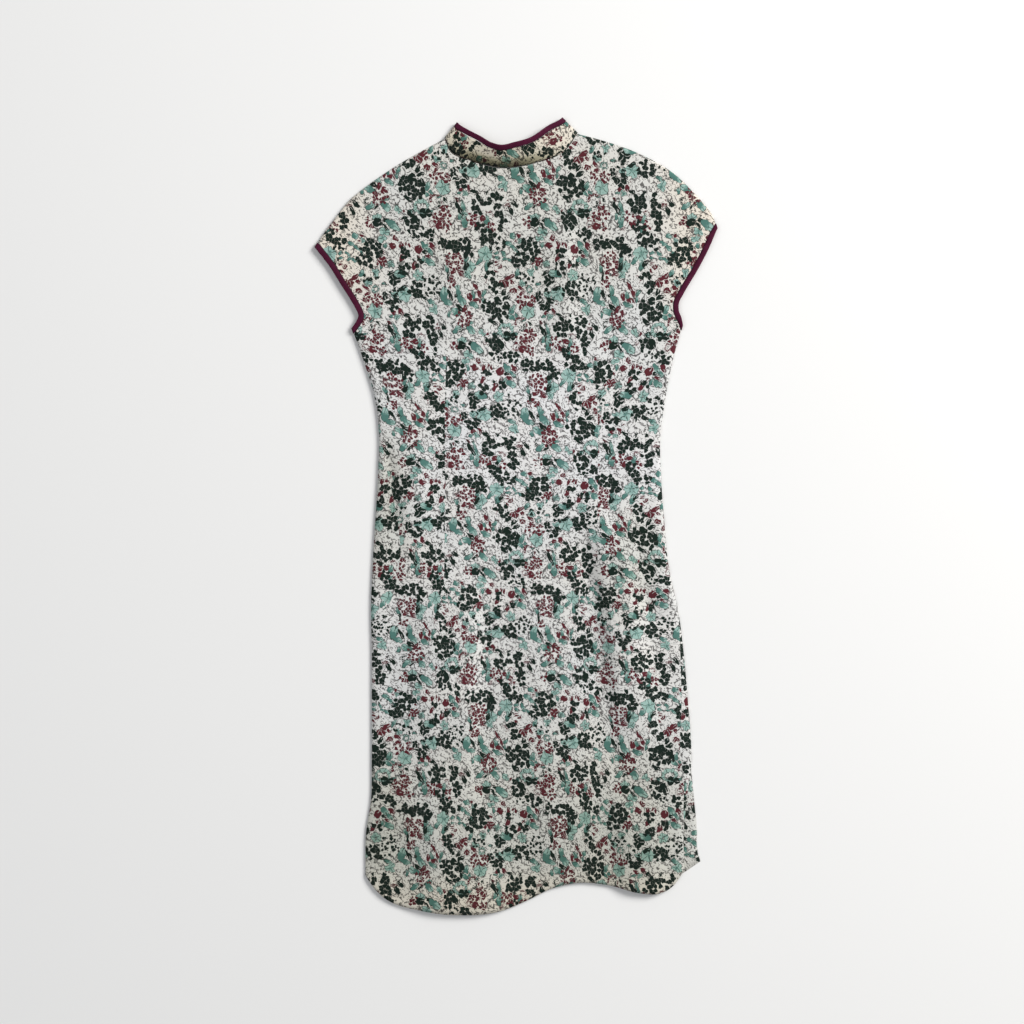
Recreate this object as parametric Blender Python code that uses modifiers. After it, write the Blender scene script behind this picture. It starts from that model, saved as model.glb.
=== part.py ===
"""Knee-length cheongsam with cap sleeves, laid face down on a flat surface.

Wearer's left is -X, the collar points to +Y, and the outside of the back faces +Z. The front lies flat on
z = 0. The back lies on it, comes down to it at the side and shoulder seams, and is open at neck, armholes
and hem. Sizes are in millimetres, scaled to metres when each mesh is made.
"""
import bpy
import numpy as np

MM = 0.001

# Cloth and seams
CLOTH = 1.2            # wall of one laid layer of printed cotton
SEAM_GAP = 0.3         # daylight between pieces that are sewn together
COLLAR_WALL = 2.0      # two layers of cloth and an interfacing
BINDING_WIDTH = 6.5    # folded bias strip
ARM_BINDING_WALL = 1.6
COLLAR_BINDING_WALL = 2.8
TURN_GAP = 0.65        # daylight beside a binding, which is stiffer where it turns over at a seam
COLLAR_ROUND = 12.0    # corner radius of the collar's front ends
SHOULDER_RIM = 4.0     # how far in from the shoulder seam the back reaches its full height
RIM_STEEPNESS = 3.7    # slope of a rim's first step, for a height equal to its width
RIM_EASE = 0.05
CORNER_TURN = 5.0      # columns stand closer together over this length at the sleeve's tip
BINDING_TURN = 2.6     # how far in from a seam a binding that turns over there reaches its full height
BINDING_CREST = 6.0    # outer height of the armhole bindings on the back
LENGTH_MIDDLE = 1.24   # middle of the garment's length in the tables' y, which becomes the origin
COLLAR_CLEAR = 1.35    # from the neck seam to the middle of the collar's wall
END_FIT = 14.0         # length over which the end of a moved edge is carried onto the seam it meets

# Side seams from hem to underarm, wearer's left and right, and how far in from each the back rounds over
SIDE_COLUMNS = ("level", "left_x", "left_y", "left_rim", "right_x", "right_y", "right_rim")
SIDE_ROWS = (
    ("hem corner", -191, -454, 34, 213, -447, 9),
    ("slit", -190, -398, 30, 213, -398, 9),
    ("slit top", -184, -359, 22, 217, -356, 12),
    ("knee", -183, -309, 16, 222, -316, 14),
    ("low thigh", -183, -232, 14, 218, -232, 14),
    ("thigh", -183, -169, 13, 213, -175, 14),
    ("full hip", -184, -118, 12, 207, -126, 12),
    ("hip", -182, -61, 11, 194, -64, 10),
    ("high hip", -179, -10, 8, 188, -4, 7),
    ("low waist", -175, 58, 6, 184, 55, 6),
    ("waist", -174, 104, 6, 183, 100, 6),
    ("ribs", -179, 149, 6, 189, 147, 6),
    ("bust", -193, 197, 6, 199, 199, 6),
    ("underarm", -208, 239, 5, 211, 243, 5),
)

# Armhole edges from the underarm to the sleeve's tip
ARMHOLE_COLUMNS = ("place", "left_x", "left_y", "right_x", "right_y")
ARMHOLE_ROWS = (
    ("underarm", -208, 239, 211, 243),
    ("turn", -202.5, 247.5, 209.5, 252),
    ("notch", -199.5, 255, 206, 262),
    ("back of arm", -203, 264, 206.5, 272),
    ("low sleeve", -208, 273, 211, 281),
    ("mid sleeve", -222, 295, 231, 315),
    ("high sleeve", -235, 316, 244, 340),
    ("tip", -255, 342, 255, 366),
)

# Shoulder seams from the sleeve's tip to the neck
SHOULDER_COLUMNS = ("place", "left_x", "left_y", "right_x", "right_y")
SHOULDER_ROWS = (
    ("tip", -255, 342, 255, 366),
    ("cap", -243, 361, 249, 383),
    ("low cap", -231, 377, 236, 400),
    ("shoulder point", -207, 406, 222, 415),
    ("outer shoulder", -197, 414, 206, 431),
    ("mid shoulder", -151, 446, 156, 461),
    ("inner shoulder", -109, 470, 105, 479),
    ("neck", -90, 480, 78, 486),
)

# Neck seams from the wearer's left to the right
BACK_NECK_ROWS = ((-90, 480), (-83, 462), (-60, 452), (-18, 441.5), (24, 448), (61, 463), (78, 486))
FRONT_NECK_ROWS = ((-90, 480), (-82, 448), (-52, 415), (-8, 400), (37, 415), (67, 448), (78, 486))

# Hem of the back, from the wearer's left slit to the right
HEM_ROWS = ((-191, -454), (-184, -465), (-172, -479), (-158, -488.5), (-122, -498.5), (-71, -504),
            (-20, -499.5), (12, -487), (48, -470), (81, -463.5), (119, -467), (160, -476.5), (180, -477),
            (195, -471), (206, -459), (213, -447))

# Front's corner that shows past the back's at the wearer's right slit
SLIT_CORNER_ROWS = ((222, -316), (226, -359), (229.5, -398), (230, -424), (234, -437))

# Overlap edge of the front, from the centre of the neck to the wearer's right armhole
OPENING_ROWS = ((-8, 400), (20, 371), (66, 330), (132, 294), (199, 266))

# Height of the back over the floor down its middle, before the folds are added
LIE_COLUMNS = ("y", "height")
LIE_ROWS = ((-504, 4.2), (-470, 4.8), (-410, 6.0), (480, 6.0))

# Soft folds of the back. Each runs between two points of its crest, is `height` high and level across
# `half_width` each way, less the two flanks by which it falls away, and rises and fades over two lengths.
FOLD_COLUMNS = ("fold", "x_top", "y_top", "x_low", "y_low", "height", "half_width",
                "left_flank", "right_flank", "rise", "fade")
FOLD_ROWS = (
    ("left shoulder blade", -86, 390, -72, 180, 2.0, 36, 34, 26, 90, 80),
    ("right shoulder blade", 46, 400, 68, 170, 4.0, 32, 44, 20, 90, 80),
    ("left waist", -132, 120, -128, -60, 2.5, 30, 26, 24, 60, 70),
    ("left thigh", -90, -20, -108, -400, 7.0, 62, 62, 26, 120, 180),
    ("centre right", 40, -60, 62, -470, 3.5, 60, 48, 44, 120, 60),
    ("right hip", 112, 40, 158, -350, 8.0, 38, 28, 26, 90, 150),
    ("left hem wave", -80, -300, -76, -520, 7.0, 76, 66, 60, 130, 30),
    ("right hem wave", 150, -320, 160, -500, 5.0, 42, 34, 30, 90, 30),
)

# Hem of the front, tucked in behind the back's, out to the corner that shows past it
FRONT_HEM_ROWS = ((-191, -454), (-172, -474), (-122, -492), (-71, -498), (-20, -493), (12, -480),
                  (48, -463), (81, -457), (119, -460), (160, -469), (192, -465), (212, -452), (234, -437))

# Collar, a band from the centre front round the back of the neck. Its lower edge is seated on the neck
# seam that is named, beside the place given, or turns over with the neck's corner. z is at mid wall.
COLLAR_ROWS = (
    # station, seam, base x, y, z, top x, y, z
    ("front end left", "front", -9.5, 401, 1.5, -9.5, 432, 1.7),
    ("front left", "front", -51.5, 416, 1.5, -37, 441, 1.7),
    ("side front left", "front", -81, 448.5, 1.5, -60, 470, 1.7),
    ("under fold left", "turn", -88.3, 476.8, 1.6, -72.8, 496.6, 2.0),
    ("fold left", "turn", -89.4, 480.7, 3.6, -73.8, 499.6, 4.9),
    ("over fold left", "turn", -87.9, 477.0, 5.6, -71.9, 497, 7.7),
    ("side back left", "back", -82.2, 462.7, 5.7, -62, 490.5, 9.5),
    ("back left", "back", -59.6, 453, 5.7, -45, 481, 13.5),
    ("half back left", "back", -40, 446, 5.7, -31, 472, 17.0),
    ("centre back", "back", -16, 442.5, 5.7, -18, 468.5, 19.0),
    ("half back right", "back", 8, 445.2, 5.7, -2, 472, 19.0),
    ("back right", "back", 30, 450.8, 5.7, 17, 478, 17.0),
    ("side back right", "back", 60.3, 464.2, 5.7, 41, 495, 11.5),
    ("over fold right", "turn", 75.2, 483.7, 5.6, 55.8, 503.2, 7.7),
    ("fold right", "turn", 77.5, 486.7, 3.6, 58, 505.5, 4.9),
    ("under fold right", "turn", 76.2, 482.9, 1.6, 56.6, 502.4, 2.0),
    ("side front right", "front", 66, 449, 1.5, 44, 470, 1.7),
    ("front right", "front", 36.4, 416, 1.5, 22, 441, 1.7),
    ("front end right", "front", -6.5, 401, 1.5, -6.5, 432, 1.7),
)

# How finely each piece is divided
BODY_STEPS = 34        # rows from hem to underarm
ARM_STEPS = 12         # rows from underarm to the sleeve's tip
SHOULDER_STEPS = 8     # columns on each shoulder of the back
NECK_STEPS = 16        # columns round the back of the neck
FRONT_BODY_STEPS = 16
FRONT_NECK_STEPS = 9
OPENING_STEPS = 14
COLLAR_STEPS = 3       # between two stations
LOFT_STEPS = 24        # between two stations, in the curve that the collar's points are read from
SHORTEST_SHARE = 0.005

PRINT_GROUND = (0.66, 0.65, 0.63, 1.0)
BINDING_RED = (0.10, 0.012, 0.045, 1.0)


def columns(rows, names, *wanted):
    """The wanted columns of a table, one array row for each table row."""
    places = [names.index(name) for name in wanted]
    return np.array([[row[place] for place in places] for row in rows], float)


def spline(points, along_of, steady=False):
    """A cubic curve through the points, read at the distances that `along_of` gives for its knots.

    A steady curve never swings past its points: its slope is level at each high or low one.
    """
    points = np.asarray(points, float)
    chord = np.linalg.norm(np.diff(points, axis=0), axis=1)
    knot = np.concatenate(([0.0], np.cumsum(chord)))
    slope = np.gradient(points, knot, axis=0)
    if steady:
        chord_slope = np.diff(points, axis=0) / chord[:, None]
        before, after = chord_slope[:-1], chord_slope[1:]
        same_way = before * after > 0
        slope[1:-1] = np.where(same_way, 2 * before * after / np.where(same_way, before + after, 1.0), 0.0)
    along = along_of(knot)
    span = np.clip(np.searchsorted(knot, along, side="right") - 1, 0, len(chord) - 1)
    width = chord[span][:, None]
    t = (along - knot[span])[:, None] / width
    return ((2 * t**3 - 3 * t**2 + 1) * points[span] + (t**3 - 2 * t**2 + t) * width * slope[span]
            + (3 * t**2 - 2 * t**3) * points[span + 1] + (t**3 - t**2) * width * slope[span + 1])


def smooth(points):
    """A cubic curve through the points, as a polyline with its points about 1 mm apart."""
    return spline(points, lambda knot: np.linspace(0.0, knot[-1], int(knot[-1]) + 2))


def lengths(line):
    """Distance along a polyline to each of its points."""
    return np.concatenate(([0.0], np.cumsum(np.linalg.norm(np.diff(line, axis=0), axis=1))))


def at(line, distance):
    """Points of a polyline at the given distances along it."""
    along = lengths(line)
    return np.stack([np.interp(distance, along, line[:, axis]) for axis in range(line.shape[1])], axis=-1)


def at_share(line, share):
    """Points of a polyline at the given shares of the way through its list of points."""
    place = np.asarray(share) * (len(line) - 1)
    return np.stack([np.interp(place, np.arange(len(line)), line[:, axis]) for axis in (0, 1)], axis=-1)


def foot_on(line, points):
    """Shortest distance from each plan point to a polyline, and how far along it that place lies."""
    start, run = line[:-1], line[1:] - line[:-1]
    to_start = points[..., None, :] - start
    share = np.clip((to_start * run).sum(-1) / (run * run).sum(-1), 0.0, 1.0)
    gap = np.linalg.norm(to_start - share[..., None] * run, axis=-1)
    nearest = gap.argmin(-1)[..., None]
    along = lengths(line)[nearest] + np.take_along_axis(share, nearest, -1) * lengths(line)[-1] / len(run)
    return np.take_along_axis(gap, nearest, -1)[..., 0], along[..., 0]


def cut_at(line, point):
    """The part of a polyline up to the place nearest to a point."""
    end = foot_on(line, np.asarray(point)[None])[1][0]
    return at(line, np.linspace(0.0, end, max(2, int(end) + 1)))


def beside(line, distance, side, start_on, end_on, least=0.0):
    """A polyline moved sideways, to its left where side is 1, with its ends carried onto two other lines.

    Each end goes to the nearest place on its line, or `least` along it where that is further.
    """
    run = np.gradient(line, axis=0)
    run /= np.linalg.norm(run, axis=1)[:, None]
    moved = line + side * distance * np.stack([-run[:, 1], run[:, 0]], axis=1)
    along = lengths(line)[:, None]
    for carrier, place, from_end in ((start_on, 0, along), (end_on, -1, along[-1] - along)):
        along_carrier = np.maximum(foot_on(carrier, moved[place][None])[1], least)
        moved = moved + ease(1.0 - from_end / END_FIT) * (at(carrier, along_carrier) - moved[place])
    return moved


def joined(*lines):
    """Polylines end to end as one, without the repeated point at each join."""
    return np.concatenate([lines[0]] + [line[1:] for line in lines[1:]])


def round_over(share):
    """A quarter of an ellipse: 0 at the seam, rising steeply, and 1 from share 1 on."""
    return np.sqrt(1.0 - (1.0 - np.clip(share, 0.0, 1.0))**2)


def turn_steps(width):
    """Places that a surface which rounds over across `width` needs, measured in from the seam."""
    return width * (1.0 - np.cos(np.radians((0, 30, 60, 90))))


def ease(share):
    """Smooth step from 0 to 1."""
    share = np.clip(share, 0.0, 1.0)
    return share * share * (3.0 - 2.0 * share)


LEFT, RIGHT = -1, 1
SIDE_SEAM = {LEFT: smooth(columns(SIDE_ROWS, SIDE_COLUMNS, "left_x", "left_y")),
             RIGHT: smooth(columns(SIDE_ROWS, SIDE_COLUMNS, "right_x", "right_y"))}
SIDE_RIM = {LEFT: columns(SIDE_ROWS, SIDE_COLUMNS, "left_y", "left_rim"),
            RIGHT: columns(SIDE_ROWS, SIDE_COLUMNS, "right_y", "right_rim")}
ARMHOLE = {LEFT: smooth(columns(ARMHOLE_ROWS, ARMHOLE_COLUMNS, "left_x", "left_y")),
           RIGHT: smooth(columns(ARMHOLE_ROWS, ARMHOLE_COLUMNS, "right_x", "right_y"))}
SHOULDER = {LEFT: smooth(columns(SHOULDER_ROWS, SHOULDER_COLUMNS, "left_x", "left_y")),
            RIGHT: smooth(columns(SHOULDER_ROWS, SHOULDER_COLUMNS, "right_x", "right_y"))}
BACK_NECK, FRONT_NECK, HEM = smooth(BACK_NECK_ROWS), smooth(FRONT_NECK_ROWS), smooth(HEM_ROWS)


def binding_edges(side):
    """Armhole binding's outer and inner edges, and the panels' edge, a seam's gap further in."""
    seam, shoulder = SIDE_SEAM[side][::-1], SHOULDER[side]
    inner = beside(ARMHOLE[side], BINDING_WIDTH, side, seam, shoulder, BINDING_WIDTH)
    panels_in = BINDING_WIDTH + TURN_GAP
    panels = beside(ARMHOLE[side], panels_in, side, seam, shoulder, panels_in + TURN_GAP)
    return ARMHOLE[side], inner, panels


def lie_height(points):
    """Height of the back's outer surface away from the seams: its lie down the middle, and the folds."""
    x, y = points[..., 0], points[..., 1]
    height = np.interp(y, *columns(LIE_ROWS, LIE_COLUMNS, "y", "height").T)
    for x_top, y_top, x_low, y_low, crest, half_width, left, right, rise, fade in columns(
            FOLD_ROWS, FOLD_COLUMNS, *FOLD_COLUMNS[1:]):
        off = x - np.interp(y, (y_low, y_top), (x_low, x_top))
        across = ease((off + half_width) / left) * ease((half_width - off) / right)
        along = ease((y_top - y) / rise) * ease((y - y_low) / fade)
        height = height + crest * across * along
    return height


def seam_rims(points):
    """For each closed seam: the points' distance from it as a share of its rim, and the rim's width."""
    for side in (LEFT, RIGHT):
        side_rim = np.interp(points[..., 1], *SIDE_RIM[side].T)
        yield foot_on(SIDE_SEAM[side], points)[0] / side_rim, side_rim
        yield foot_on(SHOULDER[side], points)[0] / SHOULDER_RIM, SHOULDER_RIM


def back_height(points):
    """Height of the back's outer surface: its lie, rounded down to the front at side and shoulder seams.

    A wide rim meets the front at a slant, so its outer edge ends higher by more of the wall.
    """
    lie, seat = lie_height(points), CLOTH + SEAM_GAP
    full, foot, closest = np.ones(lie.shape), np.full(lie.shape, seat), np.full(lie.shape, np.inf)
    for share, rim in seam_rims(points):
        steep = RIM_STEEPNESS * (lie - seat) / rim
        foot = np.where(share < closest, seat + CLOTH / np.hypot(1.0, steep) + RIM_EASE, foot)
        closest = np.minimum(closest, share)
        full = full * round_over(share)
    return foot + (lie - foot) * full


def spread(line, count, low_turn=0.0, high_turn=0.0):
    """A polyline's points at `count` even steps, with extra ones where the surface turns at its ends."""
    whole = lengths(line)[-1]
    low = turn_steps(low_turn) if low_turn else np.zeros(1)
    high = whole - (turn_steps(high_turn)[::-1] if high_turn else np.zeros(1))
    return at(line, np.concatenate((low, np.linspace(low[-1], high[0], count + 1)[1:-1], high)))


def patch(bottom, top, left, right, left_turn=None, right_turn=None):
    """Plan points of a four-sided piece from the points of its edges.

    Each row runs straight from the left edge to the right. It is then bowed by the bottom edge's own shape,
    which dies away over the lowest rows, and by the top edge's, which grows over the upper rows.
    """
    up = np.linspace(0.0, 1.0, len(left))[:, None, None]
    even = np.broadcast_to(np.linspace(0.0, 1.0, len(top)), (len(left), len(top)))
    if left_turn is not None:
        width = (right[:, 0] - left[:, 0])[:, None]
        low = np.array([turn_steps(turn) for turn in left_turn]) / width
        high = 1.0 - np.array([turn_steps(turn)[::-1] for turn in right_turn]) / width
        inner = np.linspace(low[:, -1], high[:, 0], len(top) - 6, axis=1)[:, 1:-1]
        even = np.concatenate((low, inner, high), axis=1)
    across = even[..., None]
    rows = (1 - across) * left[:, None] + across * right[:, None]
    bow_low = bottom - ((1 - across[0]) * bottom[0] + across[0] * bottom[-1])
    bow_high = top - ((1 - across[-1]) * top[0] + across[-1] * top[-1])
    fade_high = np.clip((up - 0.3) / 0.7, 0.0, 1.0)**np.array((3.5, 1.5))
    return rows + (1.0 - ease(up / 0.35)) * bow_low + fade_high * bow_high


def with_top_turn(plan, width):
    """The same rows, with extra ones below the last where the surface turns at the shoulder seam."""
    low, high = plan[-2], plan[-1]
    run = high - low
    share = turn_steps(width)[1:, None, None] / np.linalg.norm(run, axis=1)[None, :, None]
    return np.concatenate((plan[:-1], (high - share * run)[::-1], plan[-1:]))


def grid_faces(rows, cols, closed):
    """Quads of a grid, with its last row joined to its first where it is closed."""
    row = np.arange(rows if closed else rows - 1)[:, None]
    low, high = row * cols + np.arange(cols - 1), (row + 1) % rows * cols + np.arange(cols - 1)
    return np.stack([low, low + 1, high + 1, high], axis=-1).reshape(-1, 4)


def cloth(name, points, material, wall, offset, closed=False):
    """A named piece of cloth: its surface as a grid of points in millimetres, and its wall by Solidify."""
    rows, cols = points.shape[:2]
    mesh = bpy.data.meshes.new(name)
    placed = (points.reshape(-1, 3) - (0.0, LENGTH_MIDDLE, 0.0)) * MM
    mesh.from_pydata(placed.tolist(), [], grid_faces(rows, cols, closed).tolist())
    mesh.shade_smooth()
    piece = bpy.data.objects.new(name, mesh)
    piece.data.materials.append(material)
    dress.objects.link(piece)
    solidify = piece.modifiers.new("wall", "SOLIDIFY")
    solidify.thickness = wall * MM
    solidify.offset = offset
    return piece


def fabric(name, colour, roughness):
    """A plain cloth material."""
    material = bpy.data.materials.new(name)
    material.use_nodes = True
    shader = material.node_tree.nodes["Principled BSDF"]
    shader.inputs["Base Color"].default_value = colour
    shader.inputs["Roughness"].default_value = roughness
    shader.inputs["Metallic"].default_value = 0.0
    return material


def arm_shares(side, turn=None):
    """Shares of an armhole edge for its pieces' points, closer together towards the tight notch."""
    even = np.linspace(0.0, 1.0, ARM_STEPS + 1)[1:-1]**1.5
    if turn is None:
        return np.concatenate(([0.0], even, [1.0]))
    steps = turn_steps(turn) / lengths(ARMHOLE[side])[-1]
    inner = even[(even > steps[-1]) & (even < 1.0 - steps[-1])]
    return np.concatenate((steps, inner, 1.0 - steps[::-1]))


def panel_side(side, seam_steps):
    """Left or right edge of a whole panel: side seam from hem to underarm, then the armhole."""
    arm = binding_edges(side)[2]
    return joined(spread(cut_at(SIDE_SEAM[side], arm[0]), seam_steps), at_share(arm, arm_shares(side)))


def to_tip(side, arm_end):
    """A shoulder seam from a panel's upper armhole corner to the neck."""
    return cut_at(SHOULDER[side][::-1], arm_end)[::-1]


def make_back(material):
    """The back: one piece from hem to shoulders, lying in soft folds."""
    left, right = panel_side(LEFT, BODY_STEPS), panel_side(RIGHT, BODY_STEPS)
    top = joined(spread(to_tip(LEFT, left[-1]), SHOULDER_STEPS, low_turn=CORNER_TURN),
                 spread(BACK_NECK, NECK_STEPS),
                 spread(to_tip(RIGHT, right[-1])[::-1], SHOULDER_STEPS, high_turn=CORNER_TURN))
    turns = [np.interp(edge[:, 1], *SIDE_RIM[side].T) for side, edge in ((LEFT, left), (RIGHT, right))]
    bottom = spread(HEM, len(top) - 7, low_turn=turns[0][0], high_turn=turns[1][0])
    plan = with_top_turn(patch(bottom, top, left, right, *turns), SHOULDER_RIM)
    points = np.concatenate((plan, back_height(plan)[..., None]), axis=-1)
    return cloth("back_panel", points, material, CLOTH, -1.0)


def flat(plan, height):
    """Plan points lifted to one height."""
    return np.concatenate((plan, np.full(plan.shape[:-1] + (1,), height)), axis=-1)


def opening_edges():
    """Edges along the front's overlap: the underlap's, the binding's upper and lower, the front's."""
    line = smooth(OPENING_ROWS)
    arm = binding_edges(RIGHT)[2]
    return [beside(line, distance, 1, FRONT_NECK, arm)
            for distance in (SEAM_GAP, 0.0, -BINDING_WIDTH, -BINDING_WIDTH - SEAM_GAP)]


def make_front(material):
    """The front: flat on the surface, from the hem to the wearer's left shoulder and the overlap's edge."""
    edge, arm = opening_edges()[3], binding_edges(RIGHT)[2]
    slit = smooth(SLIT_CORNER_ROWS)[::-1]
    seam = cut_at(cut_at(SIDE_SEAM[RIGHT][::-1], slit[-1])[::-1], arm[0])
    left = panel_side(LEFT, FRONT_BODY_STEPS)
    right = joined(spread(joined(slit, seam), FRONT_BODY_STEPS), spread(cut_at(arm, edge[-1]), ARM_STEPS))
    top = joined(spread(to_tip(LEFT, left[-1]), SHOULDER_STEPS),
                 spread(cut_at(FRONT_NECK, edge[0]), FRONT_NECK_STEPS), spread(edge, OPENING_STEPS))
    plan = patch(spread(smooth(FRONT_HEM_ROWS), len(top) - 1), top, left, right)
    return cloth("front_panel", flat(plan, CLOTH), material, CLOTH, -1.0)


def make_underlap(material):
    """The wearer's right shoulder of the front, which the front's edge meets along the overlap."""
    edge, arm = opening_edges()[0], binding_edges(RIGHT)[2]
    end, shares = foot_on(arm, edge[-1:])[1][0] / lengths(arm)[-1], arm_shares(RIGHT)
    right = at_share(arm, np.concatenate(([end], shares[shares > end + SHORTEST_SHARE])))
    left = spread(cut_at(FRONT_NECK[::-1], edge[0])[::-1], len(right) - 1)
    top = spread(to_tip(RIGHT, right[-1])[::-1], OPENING_STEPS)
    plan = patch(spread(edge, OPENING_STEPS), top, left, right)
    return cloth("front_underlap", flat(plan, CLOTH), material, CLOTH, -1.0)


def make_opening_binding(material):
    """The bias strip along the overlap's edge, flat between the front and the underlap."""
    upper, lower = (spread(edge, OPENING_STEPS) for edge in opening_edges()[1:3])
    strip = flat(np.stack((upper, lower), axis=1), CLOTH)
    return cloth("front_opening_binding", strip, material, CLOTH, -1.0)


def make_armhole_binding(name, side, material):
    """A bias strip all round one armhole: over the back's edge, and under along the front's."""
    outer, inner = binding_edges(side)[:2]
    shares = arm_shares(side, BINDING_TURN)
    from_end = np.minimum(shares, 1.0 - shares) * lengths(outer)[-1]
    swing = 0.5 * (BINDING_CREST - ARM_BINDING_WALL) * round_over(from_end / BINDING_TURN)
    plan = np.stack((at_share(outer, shares), at_share(inner, shares)), axis=1)
    over, under = (np.concatenate((plan, np.repeat(0.5 * BINDING_CREST + way * swing, 2).reshape(-1, 2, 1)),
                                  axis=-1) for way in (1, -1))
    return cloth(name, np.concatenate((over, under[-2:0:-1])), material, ARM_BINDING_WALL, 0.0, closed=True)


def collar_stations():
    """The collar's lower and upper edge points, from its table, with each lower edge seated on its seam."""
    stations = []
    for station, seam, base_x, base_y, base_z, top_x, top_y, top_z in COLLAR_ROWS:
        base, top = np.array((base_x, base_y), float), np.array((top_x, top_y), float)
        if seam != "turn":
            foot = cut_at(FRONT_NECK if seam == "front" else BACK_NECK, base)[-1]
            base = foot + COLLAR_CLEAR * (top - foot) / np.linalg.norm(top - foot)
        stations.append((*base, base_z, *top, top_z))
    return stations


def between_knots(knot):
    """Distances that divide the stretch between each two knots evenly."""
    return np.interp(np.arange((len(knot) - 1) * LOFT_STEPS + 1) / LOFT_STEPS, np.arange(len(knot)), knot)


COLLAR_LOFT = spline(collar_stations(), between_knots, steady=True)
COLLAR_AROUND = lengths(COLLAR_LOFT[:, :3])
COLLAR_HEIGHT = np.linalg.norm(COLLAR_LOFT[:, 3:] - COLLAR_LOFT[:, :3], axis=1)


def on_collar(around, up):
    """Points of the collar at distances round it from its left front end and up from its seam."""
    row = np.stack([np.interp(around, COLLAR_AROUND, COLLAR_LOFT[:, axis]) for axis in range(6)], axis=-1)
    share = (up / np.interp(around, COLLAR_AROUND, COLLAR_HEIGHT))[..., None]
    return (1 - share) * row[..., :3] + share * row[..., 3:]


def collar_places():
    """Distances round the collar at which its pieces have points, clear of the two rounded front ends."""
    around, whole = COLLAR_AROUND[::LOFT_STEPS // COLLAR_STEPS], COLLAR_AROUND[-1]
    clear = COLLAR_ROUND + COLLAR_WALL
    inner = around[(around > clear) & (around < whole - clear)]
    return np.concatenate(([COLLAR_ROUND], inner, [whole - COLLAR_ROUND]))


def make_collar(material):
    """The collar inside its binding: a band with rounded front ends, open at the centre front."""
    whole, edge = COLLAR_AROUND[-1], BINDING_WIDTH + TURN_GAP
    small = COLLAR_ROUND - edge
    corner = COLLAR_ROUND - small * np.cos(np.radians((0, 35, 65)))
    around = np.concatenate((corner, collar_places(), whole - corner[::-1]))
    from_end = np.minimum(np.minimum(around, whole - around), COLLAR_ROUND)
    drop = COLLAR_ROUND - np.sqrt(np.maximum(small**2 - (COLLAR_ROUND - from_end)**2, 0.0))
    limit = np.interp(around, COLLAR_AROUND, COLLAR_HEIGHT) - drop
    share = np.linspace(0.0, 1.0, 4)
    points = on_collar(np.repeat(around[:, None], 4, axis=1), limit[:, None] * share)
    return cloth("collar", points, material, COLLAR_WALL, 0.0)


def make_collar_binding(material):
    """The bias strip over the collar's top edge and down its two rounded front ends."""
    whole = COLLAR_AROUND[-1]
    small = COLLAR_ROUND - BINDING_WIDTH
    height = np.interp(0.0, COLLAR_AROUND, COLLAR_HEIGHT)
    bend = np.radians((0, 22.5, 45, 67.5))
    end_up = np.array((0.0, 0.5 * (height - COLLAR_ROUND)))
    outer_around = np.concatenate((0 * end_up, COLLAR_ROUND * (1 - np.cos(bend))))
    inner_around = np.concatenate((0 * end_up + BINDING_WIDTH, COLLAR_ROUND - small * np.cos(bend)))
    outer_up = np.concatenate((end_up, height - COLLAR_ROUND * (1 - np.sin(bend))))
    inner_up = np.concatenate((end_up, height - COLLAR_ROUND + small * np.sin(bend)))
    places = collar_places()
    top_up = np.interp(places, COLLAR_AROUND, COLLAR_HEIGHT)
    rows = []
    for left_around, left_up, top in ((outer_around, outer_up, top_up),
                                      (inner_around, inner_up, top_up - BINDING_WIDTH)):
        around = np.concatenate((left_around, places, whole - left_around[::-1]))
        rows.append(on_collar(around, np.concatenate((left_up, top, left_up[::-1]))))
    strip = np.stack((rows[1], rows[0]), axis=1)
    return cloth("collar_binding", strip, material, COLLAR_BINDING_WALL, 0.0)


# The scene starts empty
for item in list(bpy.data.objects):
    bpy.data.objects.remove(item, do_unlink=True)
dress = bpy.data.collections.new("cheongsam dress")
bpy.context.scene.collection.children.link(dress)

printed = fabric("printed_cotton", PRINT_GROUND, 0.85)
bias = fabric("bias_binding", BINDING_RED, 0.7)
make_back(printed)
make_front(printed)
make_underlap(printed)
make_opening_binding(bias)
make_collar(printed)
make_collar_binding(bias)
make_armhole_binding("armhole_binding_left", LEFT, bias)
make_armhole_binding("armhole_binding_right", RIGHT, bias)
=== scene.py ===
"""Knee-length cheongsam with cap sleeves, laid face down: the cloth, print and bindings of each piece.

Wearer's left is -X, the collar points to +Y, the outside of the back faces +Z. Tables are in millimetres.
"""
import bpy
import numpy as np
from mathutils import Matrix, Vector


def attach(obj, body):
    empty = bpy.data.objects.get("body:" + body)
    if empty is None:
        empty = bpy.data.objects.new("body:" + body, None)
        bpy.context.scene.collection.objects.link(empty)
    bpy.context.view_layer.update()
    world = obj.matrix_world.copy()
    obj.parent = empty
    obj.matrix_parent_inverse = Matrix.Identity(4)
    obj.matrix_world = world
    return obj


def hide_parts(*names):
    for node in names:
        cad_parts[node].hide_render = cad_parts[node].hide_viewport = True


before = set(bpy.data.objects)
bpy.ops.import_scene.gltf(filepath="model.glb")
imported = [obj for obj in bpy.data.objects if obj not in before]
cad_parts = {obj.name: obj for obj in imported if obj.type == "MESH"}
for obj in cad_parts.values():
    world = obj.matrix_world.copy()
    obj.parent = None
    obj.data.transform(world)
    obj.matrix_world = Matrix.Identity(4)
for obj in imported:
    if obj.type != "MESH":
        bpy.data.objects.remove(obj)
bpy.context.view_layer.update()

MM = 0.001

# ---------------------------------------------------------------------------------------------------------
# Printed cotton. A thin plain-weave cotton, off-white, printed with a small hand-drawn flower design from
# four screens: teal, wine red, bottle green, and a fine pen line. The design repeats in a half drop.

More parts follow.
